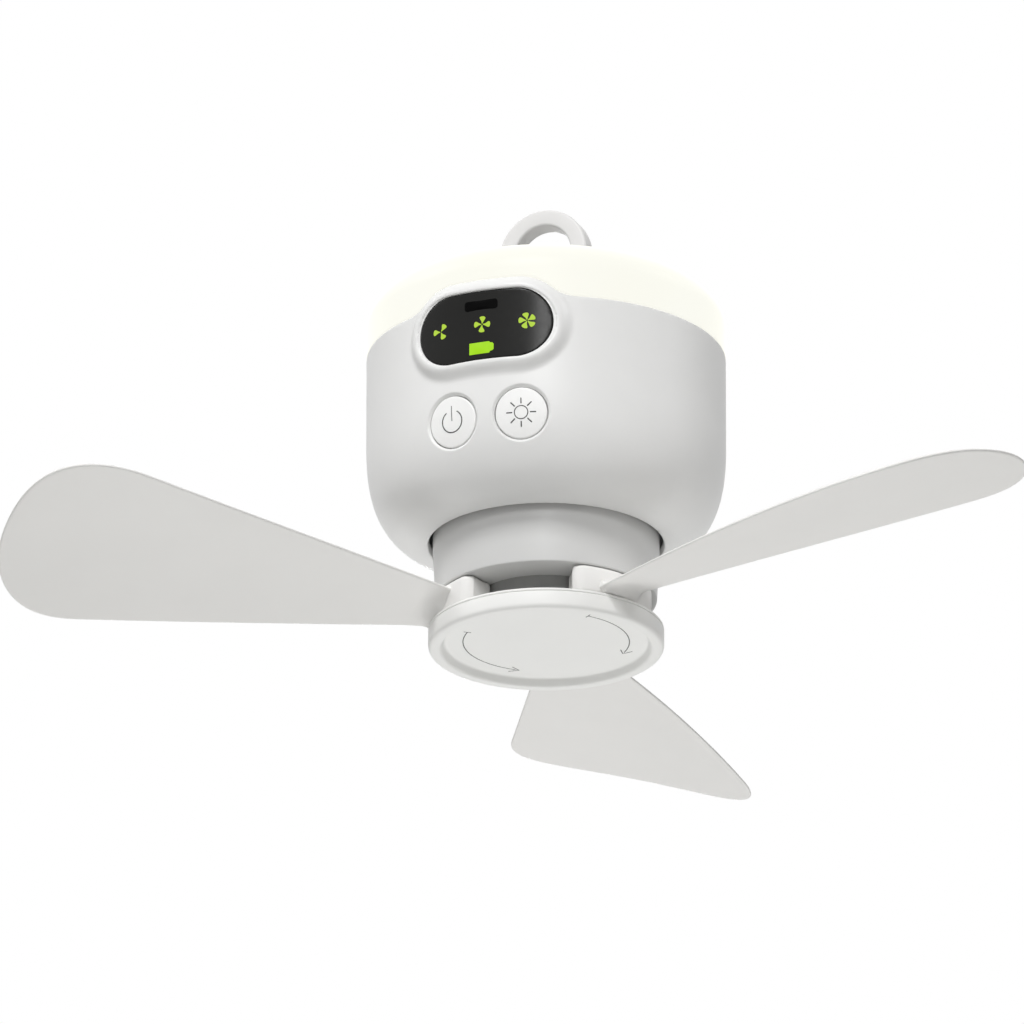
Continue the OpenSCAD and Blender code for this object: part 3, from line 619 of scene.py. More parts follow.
def unrolled(r, z, start, count=1500):
    # even rows along a profile: length from start, radius, height, and the outward normal
    length = start + np.concatenate([[0], np.cumsum(np.hypot(np.diff(r), np.diff(z)))])
    even = np.linspace(length[0], length[-1], count)
    r, z = np.interp(even, length, r), np.interp(even, length, z)
    dr, dz = np.gradient(r, even), np.gradient(z, even)
    size = np.hypot(dr, dz)
    return np.stack([even, r, z, np.abs(dz) / size, dr / size * -np.sign(dz.sum())])


def housingPath(h):
    t = math.pi / 2 * np.linspace(0, 1, 900) ** 1.5
    r = h["radius"] - h["cornerWidth"] * (1 - np.cos(t) ** (2 / h["cornerPower"]))
    z = h["floorZ"] + h["cornerHeight"] * (1 - np.sin(t) ** (2 / h["cornerPower"]))
    last = np.argmax(r < h["openingRadius"])
    end = np.interp(-h["openingRadius"], -r[:last + 1], z[:last + 1])
    r, z = np.append(r[:last], h["openingRadius"]), np.append(z[:last], end)
    # the wall goes on above the seam, where the tab needs it
    return unrolled(np.append(h["radius"], r), np.append(h["seamZ"] + h["tabRoom"], z), -h["tabRoom"])


wallPath = housingPath(housing)
wallLength = wallPath[0, -1]


def onPath(path, length):
    return [np.interp(length, path[0], row) for row in path[1:]]


def pillGap(x, z, width, height):
    return np.hypot(np.maximum(np.abs(x) - (width - height) / 2, 0), z) - height / 2


def surroundRise(x, z, h):
    # rim round the window, then a slope that runs out into the wall
    gap = pillGap(x, z, h["windowWidth"], h["windowHeight"])
    t = np.clip((gap - h["rimWidth"]) / (h["surroundWidth"] - h["rimWidth"]), 0, 1)
    return h["surroundOut"] * (1 - t * t * (3 - 2 * t)) - edgeDrop(np.maximum(gap, 0), h["windowEdge"])


def tabLine(h, grow):
    # half outline of the tab over the display, from its foot to its middle: (x, height over the seam)
    half = (h["windowWidth"] - h["windowHeight"]) / 2
    big, small = h["tabRadius"] + grow, h["tabFillet"] - grow
    foot = half + math.sqrt((big + small) ** 2 - (h["windowDrop"] + small) ** 2)
    lean = math.atan2(small + h["windowDrop"], foot - half)
    fillet = [(foot - small * math.sin(a), small - small * math.cos(a))
              for a in np.linspace(0, math.pi / 2 - lean, 14)]
    arc = [(half + big * math.cos(a), -h["windowDrop"] + big * math.sin(a))
           for a in np.linspace(lean, math.pi / 2, 26)[1:]]
    return np.array(fillet + arc + [(x, big - h["windowDrop"]) for x in np.linspace(half, 0, 10)[1:]])


def seamLine(h, grow, lift, spacing=1.6):
    # border between housing and lamp as (around, up), with the tab at the front
    half = tabLine(h, grow)
    tab = np.concatenate([half * (-1, 1), half[-2::-1]])
    turn = frontTurn + np.arcsin(tab[:, 0] / h["radius"])
    tab = rowsOf(turn * h["radius"], np.maximum(tab[:, 1], lift))
    left = np.linspace(0, tab[0, 0], int(tab[0, 0] / spacing))[:-1]
    right = np.linspace(tab[-1, 0], aroundLength, int((aroundLength - tab[-1, 0]) / spacing))[1:]
    return np.concatenate([rowsOf(left, lift), tab, rowsOf(right, lift)])


def levelRow(level, count):
    # even points all round, at one level of an unrolled wall
    return rowsOf(np.linspace(0, aroundLength, count), level)


def unrolledOutline(border, start, end, sideCount, count):
    # closed outline of an unrolled wall: its border, one side of the seam, its far end, and back
    side = np.linspace(start, end, sideCount)[1:-1]
    return np.concatenate([border, rowsOf(aroundLength, side),
                           rowsOf(np.linspace(aroundLength, 0, count), end), rowsOf(0, side[::-1])])


def onSeam(flat, near=1e-4):
    # points where the two sides of an unrolled wall meet
    return (flat[:, 0] < near) | (flat[:, 0] > aroundLength - near)


def rolledUp(r, turn, z):
    return rowsOf(r * np.cos(turn), r * np.sin(turn), z)


def wallMap(flat, h, depth=0.0, plain=False, border=None):
    # (around, down the wall) to a point of the housing; plain leaves out surround and bevels
    turn = flat[:, 0] / h["radius"]
    r, z, nr, nz = onPath(wallPath, flat[:, 1])
    rise = np.full(len(flat), -float(depth))
    if not plain:
        isFront = np.sin(turn) < 0
        rise += np.where(isFront, surroundRise(r * np.cos(turn), z - windowZ, h), 0)
        for keyTurn in buttonTurns:
            gap = np.hypot(r * np.sin(turn - keyTurn), z - buttonZ)
            sink = np.clip((h["mouthRadius"] - gap) / (h["mouthRadius"] - h["holeRadius"]), 0, 1)
            rise -= np.where(isFront, h["mouthDepth"] * sink, 0)
        slotGap = pillGap(r * np.cos(turn), z - h["slotZ"], h["slotWidth"], h["slotHeight"])
        rise -= np.where(isFront, 0, edgeDrop(np.maximum(slotGap, 0), h["slotEdge"]))
        rise -= edgeDrop(wallLength - flat[:, 1], h["openingEdge"])
    if border is not None:
        rise -= edgeDrop(border, h["edge"])
    return rolledUp(r + nr * rise, turn, z + nz * rise)


def aimAt(targets, turn, h):
    # flat places of the wall points that show at (sideways, height) when seen along a direction
    flat = rowsOf((turn + targets[:, 0] / h["radius"]) * h["radius"], h["seamZ"] - targets[:, 1])
    for _ in range(12):
        now = wallMap(flat, h)
        flat[:, 0] += targets[:, 0] - now[:, :2] @ (-math.sin(turn), math.cos(turn))
        flat[:, 1] += now[:, 2] - targets[:, 1]
    return flat


def post(foot, top, radius, hole, flare=1.08, bevelHeight=0.4, bevelWidth=0.35, holeDepth=5):
    # round post from a foot height at each side, with a pilot hole in its end
    x, y, footHeight = foot
    ring = circleLoop(1.0, 28)
    loops = []
    for size, z in ((radius * flare, None), (radius, top - bevelHeight), (radius - bevelWidth, top),
                    (hole, top), (hole, top - holeDepth)):
        loop = flatLoop(ring * size + (x, y), 0)
        loop[:, 2] = footHeight(np.hypot(loop[:, 0], loop[:, 1])) if z is None else z
        loops.append(loop)
    return loft(loops)


def rod(start, end, radius, bevel=0.3, waist=0.94, tip=0.8):
    # short boss along any direction, a little thinner at its end
    start, end = np.array(start, float), np.array(end, float)
    along = (end - start) / np.linalg.norm(end - start)
    side = np.cross(along, (0, 0, 1.0))
    side /= np.linalg.norm(side)
    ring = circleLoop(1.0, 20)
    ring = ring[:, :1] * side + ring[:, 1:] * np.cross(side, along)
    return loft([start + radius * ring, end - bevel * along + radius * waist * ring,
                 end + radius * tip * ring])


def housingPosts(h):
    r, z, nr, nz = wallPath[1:]
    r, z = r - nr * h["wall"] / 2, z - nz * h["wall"] / 2          # middle of the wall
    footHeight = lambda rho: np.interp(-rho, -r, z)
    parts = []
    for group in (h["lampPosts"], h["motorPosts"]):
        for x, y, top in placesAround(group["place"], group["angles"], group["top"]):
            parts.append(post((x, y, footHeight), top, group["radius"], h["pilotRadius"]))
    peg = h["boardPegs"]
    for x in (-peg["x"], peg["x"]):
        parts.append(rod(*((x, y, windowZ - peg["drop"]) for y in (peg["foot"], peg["end"])), peg["radius"]))
    peg = h["switchPegs"]
    for turn in buttonTurns:
        out = np.array((math.cos(turn), math.sin(turn), 0))
        for z0 in (buttonZ - peg["rise"], buttonZ + peg["rise"]):
            foot = float(np.interp(-z0, -z, r)) if z0 < buttonZ else peg["foot"]
            parts.append(rod(out * foot + (0, 0, z0), out * peg["end"] + (0, 0, z0), peg["radius"]))
    return parts


def makeHousing(h, g):
    down = seamLine(h, 0, 0) * (1, -1)                  # unrolled wall, its length running down
    outer = unrolledOutline(down, 0, wallLength, 60, g["allRound"])

    def pillAt(width, height, z, turn, gap, count):
        return aimAt(pillLoop(width + 2 * gap, height + 2 * gap, count) + (0, z), turn, h)

    window = (h["windowWidth"], h["windowHeight"], windowZ, frontTurn)
    slot = (h["slotWidth"], h["slotHeight"], h["slotZ"], math.pi / 2)
    mouths = lambda radius: [aimAt(circleLoop(radius) + (0, buttonZ), turn, h) for turn in buttonTurns]
    holes = [pillAt(*window, 0, 40)] + mouths(h["holeRadius"]) + [pillAt(*slot, 0, 16)]
    front = frontTurn * h["radius"]
    coarse = np.concatenate([
        gridPoints(0, aroundLength, g["around"], g["first"], g["cornerFrom"], g["down"]),
        gridPoints(0, aroundLength, g["around"], g["cornerFrom"], wallLength - g["last"], g["corner"])])
    coarse = coarse[(np.abs(coarse[:, 0] - front) > g["frontHalf"] + g["frontGap"])
                    | (coarse[:, 1] > g["frontTo"] + g["frontGap"])]
    fill = [coarse, gridPoints(front - g["frontHalf"], front + g["frontHalf"], g["fine"],
                               g["frontFrom"], g["frontTo"], g["fine"])]
    fill += [pillAt(*window, gap, 56) for gap in g["windowRows"]]
    for radius in g["mouthRows"]:
        fill += mouths(radius)
    for gap in g["edgeRows"]:
        fill += [pillAt(*slot, gap, 16), offsetPath(down, -gap), levelRow(wallLength - gap, g["allRound"])]
    fill = np.concatenate(fill)
    flat, triangles, owner = meshRegion([outer] + holes, fill[insideLoop(fill, outer)], 0.09)
    top = wallMap(flat, h, border=distanceTo(flat, down))
    under = wallMap(flat, h, depth=h["wall"], plain=True)
    outward = [(0, -1, 0)] + [(math.cos(t), math.sin(t), 0) for t in buttonTurns] + [(0, 1, 0)]
    mouth = h["wall"] - h["mouthDepth"]
    depths = [h["wall"] + h["surroundOut"], mouth, mouth, h["wall"]]
    for number, (direction, depth) in enumerate(zip(outward, depths), start=1):
        mine = owner == number
        under[mine] = top[mine] - np.array(direction) * depth
    skin = plate(flat, triangles, top, under, onSeam(flat))
    makePiece("housing_casing", joined([skin] + housingPosts(h)), "housing", "housing", "housing_plastic",
              ["housing_shell"])


makeHousing(housing, housingMesh)

# ---- lamp dome ----

dome = {"top": -22.8, "shoulderWidth": 16.8, "shoulderHeight": 11.8, "wall": 3.0, "holeRadius": 38.1,
        "seatThickness": 1.8, "lipRadius": 35.0, "notchGap": 0.3, "seamGap": 0.1, "edge": 0.3,
        "snapLength": 3.0, "snapOuter": 53.3, "snapInner": 51.8, "snapRoot": 0.6, "leadWidth": 0.5,
        "leadHeight": 0.8,
        # spacing of the mesh points, and the rows that draw each rounded edge
        "around": 2.2, "up": 1.6, "shoulder": 0.9, "shoulderFrom": 10, "first": 1.2, "last": 1,
        "edgeRows": (0.1, 0.2, 0.35, 0.6)}


def domePath(d, h):
    t = np.linspace(0, math.pi / 2, 300)
    r = h["radius"] - d["shoulderWidth"] * (1 - np.cos(t))
    z = d["top"] - d["shoulderHeight"] * (1 - np.sin(t))
    return unrolled(np.concatenate([[h["radius"]], r, [d["holeRadius"]]]),
                    np.concatenate([[h["seamZ"]], z, [d["top"]]]), 0)


def makeDome(d, h):
    path = domePath(d, h)
    length = path[0, -1]
    reach = d["holeRadius"] - d["lipRadius"]
    full = length + d["seatThickness"] + reach           # over the edge, down the step and along the ledge
    border = seamLine(h, d["notchGap"], d["seamGap"])
    outline = unrolledOutline(border, d["seamGap"], full, 30, 220)
    fill = [gridPoints(0, aroundLength, d["around"], d["first"], d["shoulderFrom"], d["up"]),
            gridPoints(0, aroundLength, d["around"], d["shoulderFrom"], length - d["last"], d["shoulder"])]
    for gap in d["edgeRows"]:
        fill += [offsetPath(border, -gap), levelRow(length - gap, 200)]
    fill = np.concatenate(fill + [levelRow(level, 220) for level in (length, length + d["seatThickness"])])
    flat, triangles, _ = meshRegion([outline], fill[insideLoop(fill, outline)], 0.09)
    turn, up = flat[:, 0] / h["radius"], flat[:, 1]
    r, z, nr, nz = onPath(path, np.minimum(up, length))
    over = up - length
    drop = edgeDrop(distanceTo(flat, border), d["edge"]) + edgeDrop(np.maximum(-over, 0), d["edge"])
    down = np.clip(over, 0, d["seatThickness"])
    inward = np.clip(over - d["seatThickness"], 0, reach)
    outer = rolledUp(r - nr * drop - inward, turn, z - nz * np.where(over > 0.01, 0, drop) - down)
    inner = rolledUp(r - nr * d["wall"] - np.clip(over, 0, reach), turn, z - nz * d["wall"])
    skin = plate(flat, triangles, outer, inner, onSeam(flat))
    # lip that snaps into the housing, open at the front for the tab
    foot = math.degrees(tabLine(h, d["notchGap"])[0, 0] / h["radius"]) + 1
    root, end = h["seamZ"] + d["snapRoot"], h["seamZ"] - d["snapLength"]
    section = [(d["snapInner"], root), (d["snapInner"], end), (d["snapOuter"] - d["leadWidth"], end),
               (d["snapOuter"], end + d["leadHeight"]), (d["snapOuter"], root)]
    lip = swept(section, [math.radians(270 + angle) for angle in np.linspace(foot, 360 - foot, 200)])
    makePiece("lamp_dome", joined([skin, lip]), "opal", "housing", "diffuser_plastic", ["lamp_diffuser"])


makeDome(dome, housing)

# ---- ring seat ----

seat = {"radius": 38.0, "thickness": 1.8, "edge": 0.4, "recessRadius": 14.85, "recessFront": -3.8,
        "recessEnd": 32.6, "recessCorner": 0.6, "recessFloor": -30.4,
        "floorBevels": ((0.15, 0.15), (0.5, 0.0)), "trayWall": 1.8, "trayBevel": 0.4,
        "dipRadius": 8.0, "dipRise": 6.0, "dipBack": 3, "pinZ": -26.6, "pinHole": 1.55,
        "grid": 1.6, "edgeRows": (0.1, 0.25, 0.45), "dipRows": (5.25, 4.9, 4.4, 3.8)}


def recessLoop(s, grow=0.0):
    # D-shaped recess: square at the front, round at the back where the ring folds to
    r, front, middle = s["recessRadius"] + grow, s["recessFront"] - grow, s["recessEnd"] - s["recessRadius"]
    back = arcPoints(r, np.linspace(0, math.pi, 60), 0, middle)
    corner = max(0.2, s["recessCorner"] + grow)
    bow = np.linspace(0, math.pi / 2, 8)
    left = arcPoints(-corner, bow, -r + corner, front + corner)
    right = rowsOf(r - corner + corner * np.sin(bow), front + corner - corner * np.cos(bow))
    sides = np.linspace(middle, front + corner, 26)[1:-1]
    bottom = np.linspace(-r + corner, r - corner, 30)[1:-1]
    return np.concatenate([back, rowsOf(-r, sides), left, rowsOf(bottom, front), right,
                           rowsOf(r, sides[::-1])])


def dipDepth(points, middle, s):
    # depth of the finger dip, the cap of a ball, under points of the plate
    away = np.hypot(points[:, 0], points[:, 1] - middle)
    return np.sqrt(np.maximum(s["dipRadius"] ** 2 - away ** 2, 0)) - s["dipRise"]


def drillPinHole(piece, radius, height, reach=20):
    # straight through along X, for the pin of the ring
    ring = circleLoop(radius, 40)
    carve(piece, *loft([[(x, y, z + height) for y, z in ring] for x in (-reach, reach)]))


def makeSeat(s, d):
    rim, recess = circleLoop(s["radius"], 180), recessLoop(s)
    dipY = s["recessEnd"] - s["dipBack"]
    rings = [circleLoop(s["radius"] - gap, 180) for gap in s["edgeRows"]]
    rings += [recessLoop(s, gap) for gap in s["edgeRows"]]
    rings += [circleLoop(radius, 60, 0, dipY) for radius in s["dipRows"]]
    reach = s["radius"] - 1
    fill = np.concatenate(rings + [gridPoints(-reach, reach, s["grid"], -reach, reach, s["grid"])])
    flat, triangles, _ = meshRegion([rim, recess], fill[insideLoop(fill, rim)], 0.06)
    edge = np.minimum(s["radius"] - np.hypot(*flat.T), distanceTo(flat, closedLine(recess)))
    dip = np.maximum(dipDepth(flat, dipY, s), 0)
    parts = [(rowsOf(*flat.T, d["top"] - np.maximum(edgeDrop(edge, s["edge"]), dip)), triangles)]
    # walls and floor of the recess
    floor, low = s["recessFloor"], d["top"] - s["thickness"]
    walls = [rowsOf(*recess.T, d["top"] - np.maximum(dipDepth(recess, dipY, s), s["edge"])),
             flatLoop(recess, floor + s["floorBevels"][1][0])]
    walls += [flatLoop(recessLoop(s, -inset), floor + rise) for inset, rise in s["floorBevels"]]
    parts.append(loft(walls, False, True))
    # rim, underside, and the tray under the recess
    parts.append(loft([flatLoop(rim, d["top"] - s["edge"]), flatLoop(rim, low)], False, False))
    tray = recessLoop(s, s["trayWall"])
    under, underFaces, _ = meshRegion([rim, tray])
    parts.append((flatLoop(under, low), underFaces))
    bottom, bevel = floor - s["trayWall"], s["trayBevel"]
    parts.append(loft([flatLoop(tray, low), flatLoop(tray, bottom + bevel),
                       flatLoop(recessLoop(s, s["trayWall"] - bevel), bottom)], False, True))
    piece = meshObject("ring_seat_plate", *joined(parts))
    drillPinHole(piece, s["pinHole"], s["pinZ"])
    finishPiece(piece, "inner", "housing", "housing_plastic", ["ring_seat"])


makeSeat(seat, dome)

# ---- hanging ring ----

hanger = {"width": 28.7, "bar": 5.2, "thickness": 7.0, "archZ": -9.15, "edge": 0.8,
          "pinZ": seat["pinZ"], "hole": seat["pinHole"]}


def makeHanger(g):
    middle, halfBar, halfThick = (g["width"] - g["bar"]) / 2, g["bar"] / 2, g["thickness"] / 2
    stations = []                                        # (place, outward direction, half thickness)
    for d in halfThick * np.cos(np.linspace(0.03, math.pi / 2, 16)):
        stations.append(((middle, g["pinZ"] - d), (1, 0), math.sqrt(halfThick ** 2 - d ** 2)))
    for z in np.linspace(g["pinZ"], g["archZ"], 10)[1:-1]:
        stations.append(((middle, z), (1, 0), halfThick))
    for a in np.linspace(0, math.pi / 2, 30):
        out = (math.cos(a), math.sin(a))
        stations.append(((middle * out[0], g["archZ"] + middle * out[1]), out, halfThick))
    stations += [((-x, z), (-ox, oz), thick) for (x, z), (ox, oz), thick in stations[-2::-1]]
    loops = []
    for (x, z), (ox, oz), thick in stations:
        section = roundedRectangle(2 * halfBar, 2 * thick, min(g["edge"], thick * 0.95))
        loops.append([(x + ox * n, y, z + oz * n) for n, y in section])
    piece = meshObject("hanging_arch", *loft(loops))
    drillPinHole(piece, g["hole"], g["pinZ"])
    finishPiece(piece, "ring", "ring", "ring_plastic", ["hanging_ring"])


makeHanger(hanger)

# ---- display ----

display = {"width": 43.8, "height": 22.8, "faceRadius": 57.9, "backRadius": 54.4, "edge": 0.5,
           "edgeRows": (0.08, 0.2, 0.35, 0.55), "proud": 0.12, "sunk": 0.2,
           "markPlaces": (-14.2, 0.0, 14.2), "markHeight": 0.2, "markPetals": (3, 4, 5), "markGap": 0.3,
           "petal": ((0, -0.08), (0.75, -0.55), (1.55, -1.05), (2.05, -0.95), (2.3, -0.35), (2.3, 0.3),
                     (2.05, 0.75), (1.5, 0.62), (0.75, 0.2), (0, 0.08)),
           "battery": ((-4.2, -9.5), (2.3, -9.5), (2.6, -8.95), (3.4, -8.75), (3.75, -8.35), (3.75, -6.65),
                       (3.4, -6.25), (2.6, -6.1), (2.3, -5.7), (-4.2, -5.7)),
           "filterPlace": (-0.4, 6.7), "filterSize": (10.8, 3.2, 0.9),
           # mesh points inside each outline: from, to and spacing, across and then up
           "grid": (-21, 21, 1.2, -10.5, 10.5, 1.2), "batteryGrid": (-4, 3.6, 0.8, -9.4, -5.8, 3),
           "filterGrid": (-5, 4.6, 0.8, 5.4, 8, 1)}


def onCylinder(flat, radius):
    # (sideways, up) on the display to a point at a radius
    return rowsOf(flat[:, 0], -np.sqrt(radius ** 2 - flat[:, 0] ** 2), flat[:, 1] + windowZ)


def makeDisplay(w):
    outline = pillLoop(w["width"], w["height"], 56)
    rims = [pillLoop(w["width"] - 2 * gap, w["height"] - 2 * gap, 56) for gap in w["edgeRows"]]
    grid = gridPoints(*w["grid"])
    flat, triangles, _ = meshRegion([outline], np.concatenate(rims + [grid[insideLoop(grid, outline)]]))
    gap = -pillGap(flat[:, 0], flat[:, 1], w["width"], w["height"])
    face = onCylinder(flat, w["faceRadius"] - edgeDrop(gap, w["edge"]))
    makePiece("display_lens", plate(flat, triangles, face, onCylinder(flat, w["backRadius"])),
              "window", "housing", "display_plastic", ["display_window"])

    # fan marks: petals copied round their hub, then bent on to the face
    shape = inlay([smoothLoop(w["petal"])], lambda p: flatLoop(p, w["proud"]),
                  lambda p: flatLoop(p, -w["sunk"]))
    parts = []
    for x, count in zip(w["markPlaces"], w["markPetals"]):
        hub = turned(flatLoop(circleLoop(w["markGap"], count), 0), 180)
        points, faces = takeShape(copyPiece("petals", shape, hub, "icon"))
        bent = onCylinder(points[:, :2] + (x, w["markHeight"]), w["faceRadius"] + points[:, 2])
        parts.append((bent, faces))
    makePiece("speed_marks", joined(parts), "icon", "housing", "icon_green", ["display_icons"])

    onFace = lambda lift: lambda p: onCylinder(p, w["faceRadius"] + lift)
    battery = inlay([np.array(w["battery"])], onFace(w["proud"]), onFace(-w["sunk"]),
                    gridPoints(*w["batteryGrid"]))
    makePiece("battery_mark", battery, "battery", "housing", "icon_green", ["display_icons"])
    bar = inlay([roundedRectangle(*w["filterSize"]) + w["filterPlace"]], onFace(w["proud"]),
                onFace(-w["sunk"]), gridPoints(*w["filterGrid"]))
    makePiece("infrared_bar", bar, "filter", "housing", "filter_plastic", ["ir_window"])


makeDisplay(display)

# ---- keys ----

key = {"radius": 8.1, "recess": 0.5, "edge": 0.35, "edgeRows": (0.06, 0.15, 0.3, 0.5),
       "grid": 0.9, "gridReach": 7.4, "gridGap": 0.6,
       "flangeRadius": 9.2, "flangeDepth": 3.5, "depth": 4.2,
       "stemRadius": 1.6, "stemLength": 1.2, "stemBevel": 0.3, "stemTip": 0.8, "ink": 0.04, "inkDepth": 0.15,
       "powerRadius": 3.5, "powerOpening": 34, "powerLine": 0.36,
       "barLine": 0.24, "barFrom": 0.2, "barTo": 4.9,
       "lampRadius": 2.1, "lampLine": 0.3, "rayCount": 8, "rayFrom": 2.9, "rayTo": 4.5, "rayLine": 0.38}


def keyPlane(flat, turn, ahead):
    # (sideways, up) on a key to a point at a distance from the axis of the fan
    out, side = np.array((math.cos(turn), math.sin(turn))), np.array((-math.sin(turn), math.cos(turn)))
    return np.column_stack([np.reshape(ahead, (-1, 1)) * out + flat[:, :1] * side, buttonZ + flat[:, 1]])


def keyFace(flat, turn, lift, k):
    # the same on the face of the key, which follows the wall
    r = np.interp(-(buttonZ + flat[:, 1]), -wallPath[2], wallPath[1]) - k["recess"]
    return keyPlane(flat, turn, np.sqrt(r ** 2 - flat[:, 0] ** 2) + lift)


def makeKey(name, turn, body, replaced, outlines, k, h):
    rim = circleLoop(k["radius"])
    grid = gridPoints(-k["gridReach"], k["gridReach"], k["grid"], -k["gridReach"], k["gridReach"], k["grid"])
    rows = [circleLoop(k["radius"] - gap) for gap in k["edgeRows"]]
    rows.append(grid[np.hypot(*grid.T) < k["radius"] - k["gridGap"]])
    flat, triangles, _ = meshRegion([rim], np.concatenate(rows))
    sink = edgeDrop(k["radius"] - np.hypot(*flat.T), k["edge"])
    step, back = (h["radius"] - k["recess"] - depth for depth in (k["flangeDepth"], k["depth"]))
    end = back - k["stemLength"]
    flange, stem = circleLoop(k["flangeRadius"]), circleLoop(k["stemRadius"])
    levels = [keyPlane(loop, turn, ahead) for loop, ahead in (
        (rim, step), (flange, step), (flange, back), (stem, back), (stem, end + k["stemBevel"]),
        (stem * k["stemTip"], end))]
    sides = loft([keyFace(rim, turn, -k["edge"], k)] + levels, False, True)
    makePiece(name, joined([(keyFace(flat, turn, -sink, k), triangles), sides]), "key", body, "key_plastic",
              replaced)
    marks = [inlay(loops, lambda p: keyFace(p, turn, k["ink"], k),
                   lambda p: keyFace(p, turn, -k["inkDepth"], k))
             for loops in outlines]
    makePiece(name + "_ink", joined(marks), "ink", body, "key_plastic")


def makeKeys(k, h):
    half = math.radians(k["powerOpening"])
    arc = [(k["powerRadius"] * math.sin(a), k["powerRadius"] * math.cos(a))
           for a in np.linspace(half, 2 * math.pi - half, 80)]
    bar = [(0, y) for y in np.linspace(k["barFrom"], k["barTo"], 6)]
    power = [[strokeLoop(arc, k["powerLine"])], [strokeLoop(bar, k["barLine"])]]
    makeKey("power_key_cap", buttonTurns[0], "power_key", ["power_button"], power, k, h)

    # rays of the lamp mark: one short stroke copied round the bulb
    stroke = strokeLoop([(x, 0) for x in np.linspace(k["rayFrom"], k["rayTo"], 5)], k["rayLine"])
    shape = flatLoop(stroke, 0), [tuple(range(len(stroke)))]
    hub = flatLoop(circleLoop(nearAxis, k["rayCount"]), 0)
    points, faces = takeShape(copyPiece("rays", shape, hub, "ink"))
    strokes = [[points[list(face), :2]] for face in faces]
    bulb = [circleLoop(k["lampRadius"] + way * k["lampLine"] / 2, 48) for way in (1, -1)]
    makeKey("lamp_key_cap", buttonTurns[1], "light_key", ["light_button"], strokes + [bulb], k, h)


makeKeys(key, housing)

# ---- rotor drum ----

drum = {"topRadius": 35.2, "endRadius": 34.4, "top": -101.8, "taperTop": -108.8, "bottom": -124.6,
        "wall": 2.2, "floor": 2.4, "edge": 0.6}


def makeDrum(q):
    bottom, inside = q["bottom"], q["bottom"] + q["floor"]
    # corners are (radius, height, rounding)
    profile = roundedCorners([
        (0, bottom, 0), (q["endRadius"], bottom, q["edge"]), (q["topRadius"], q["taperTop"], 0.5),
        (q["topRadius"], q["top"], 0.5), (q["topRadius"] - q["wall"], q["top"], 0.4),
        (q["endRadius"] - q["wall"], inside, 1.2), (0, inside, 0)])
    # the drum's finish holds painted shade: it is a darker grey than the housing
    finishPiece(lathePiece("rotor_collar", profile, "drum"), "drum", "rotor", "housing_plastic",
                ["rotor_drum"])


makeDrum(drum)

# ---- cap ----

cap = {"radius": 36.6, "top": -134.2, "bottom": -140.8, "rimInner": 32.7, "faceRadius": 31.7, "dish": 2.6,
       "lineDepth": 0.35, "lineDrops": (1.15, 0.95, 0.7), "channelDepth": 2.4, "channelOuter": 34.0,
       "channelInner": 13.6, "ribRadius": 26.0, "ribWidth": 2, "bossRadius": 11.0, "bossHeight": 3.4,
       "lugRadius": 12.6, "lugRoot": 0.6, "lugSpan": 22, "lugFrom": 1.9, "lugTo": 3.3,
       "lugAngles": (155.2, 275.2, 35.2),
       "arrowRadius": 25.8, "arrowLine": 0.3, "arrowProud": 0.03, "arrowDepth": 0.2,
       "arrows": ((320, 403), (219, 129)), "headLength": 3.4, "headLean": 34, "headAhead": 1.001, "tick": 1.1}


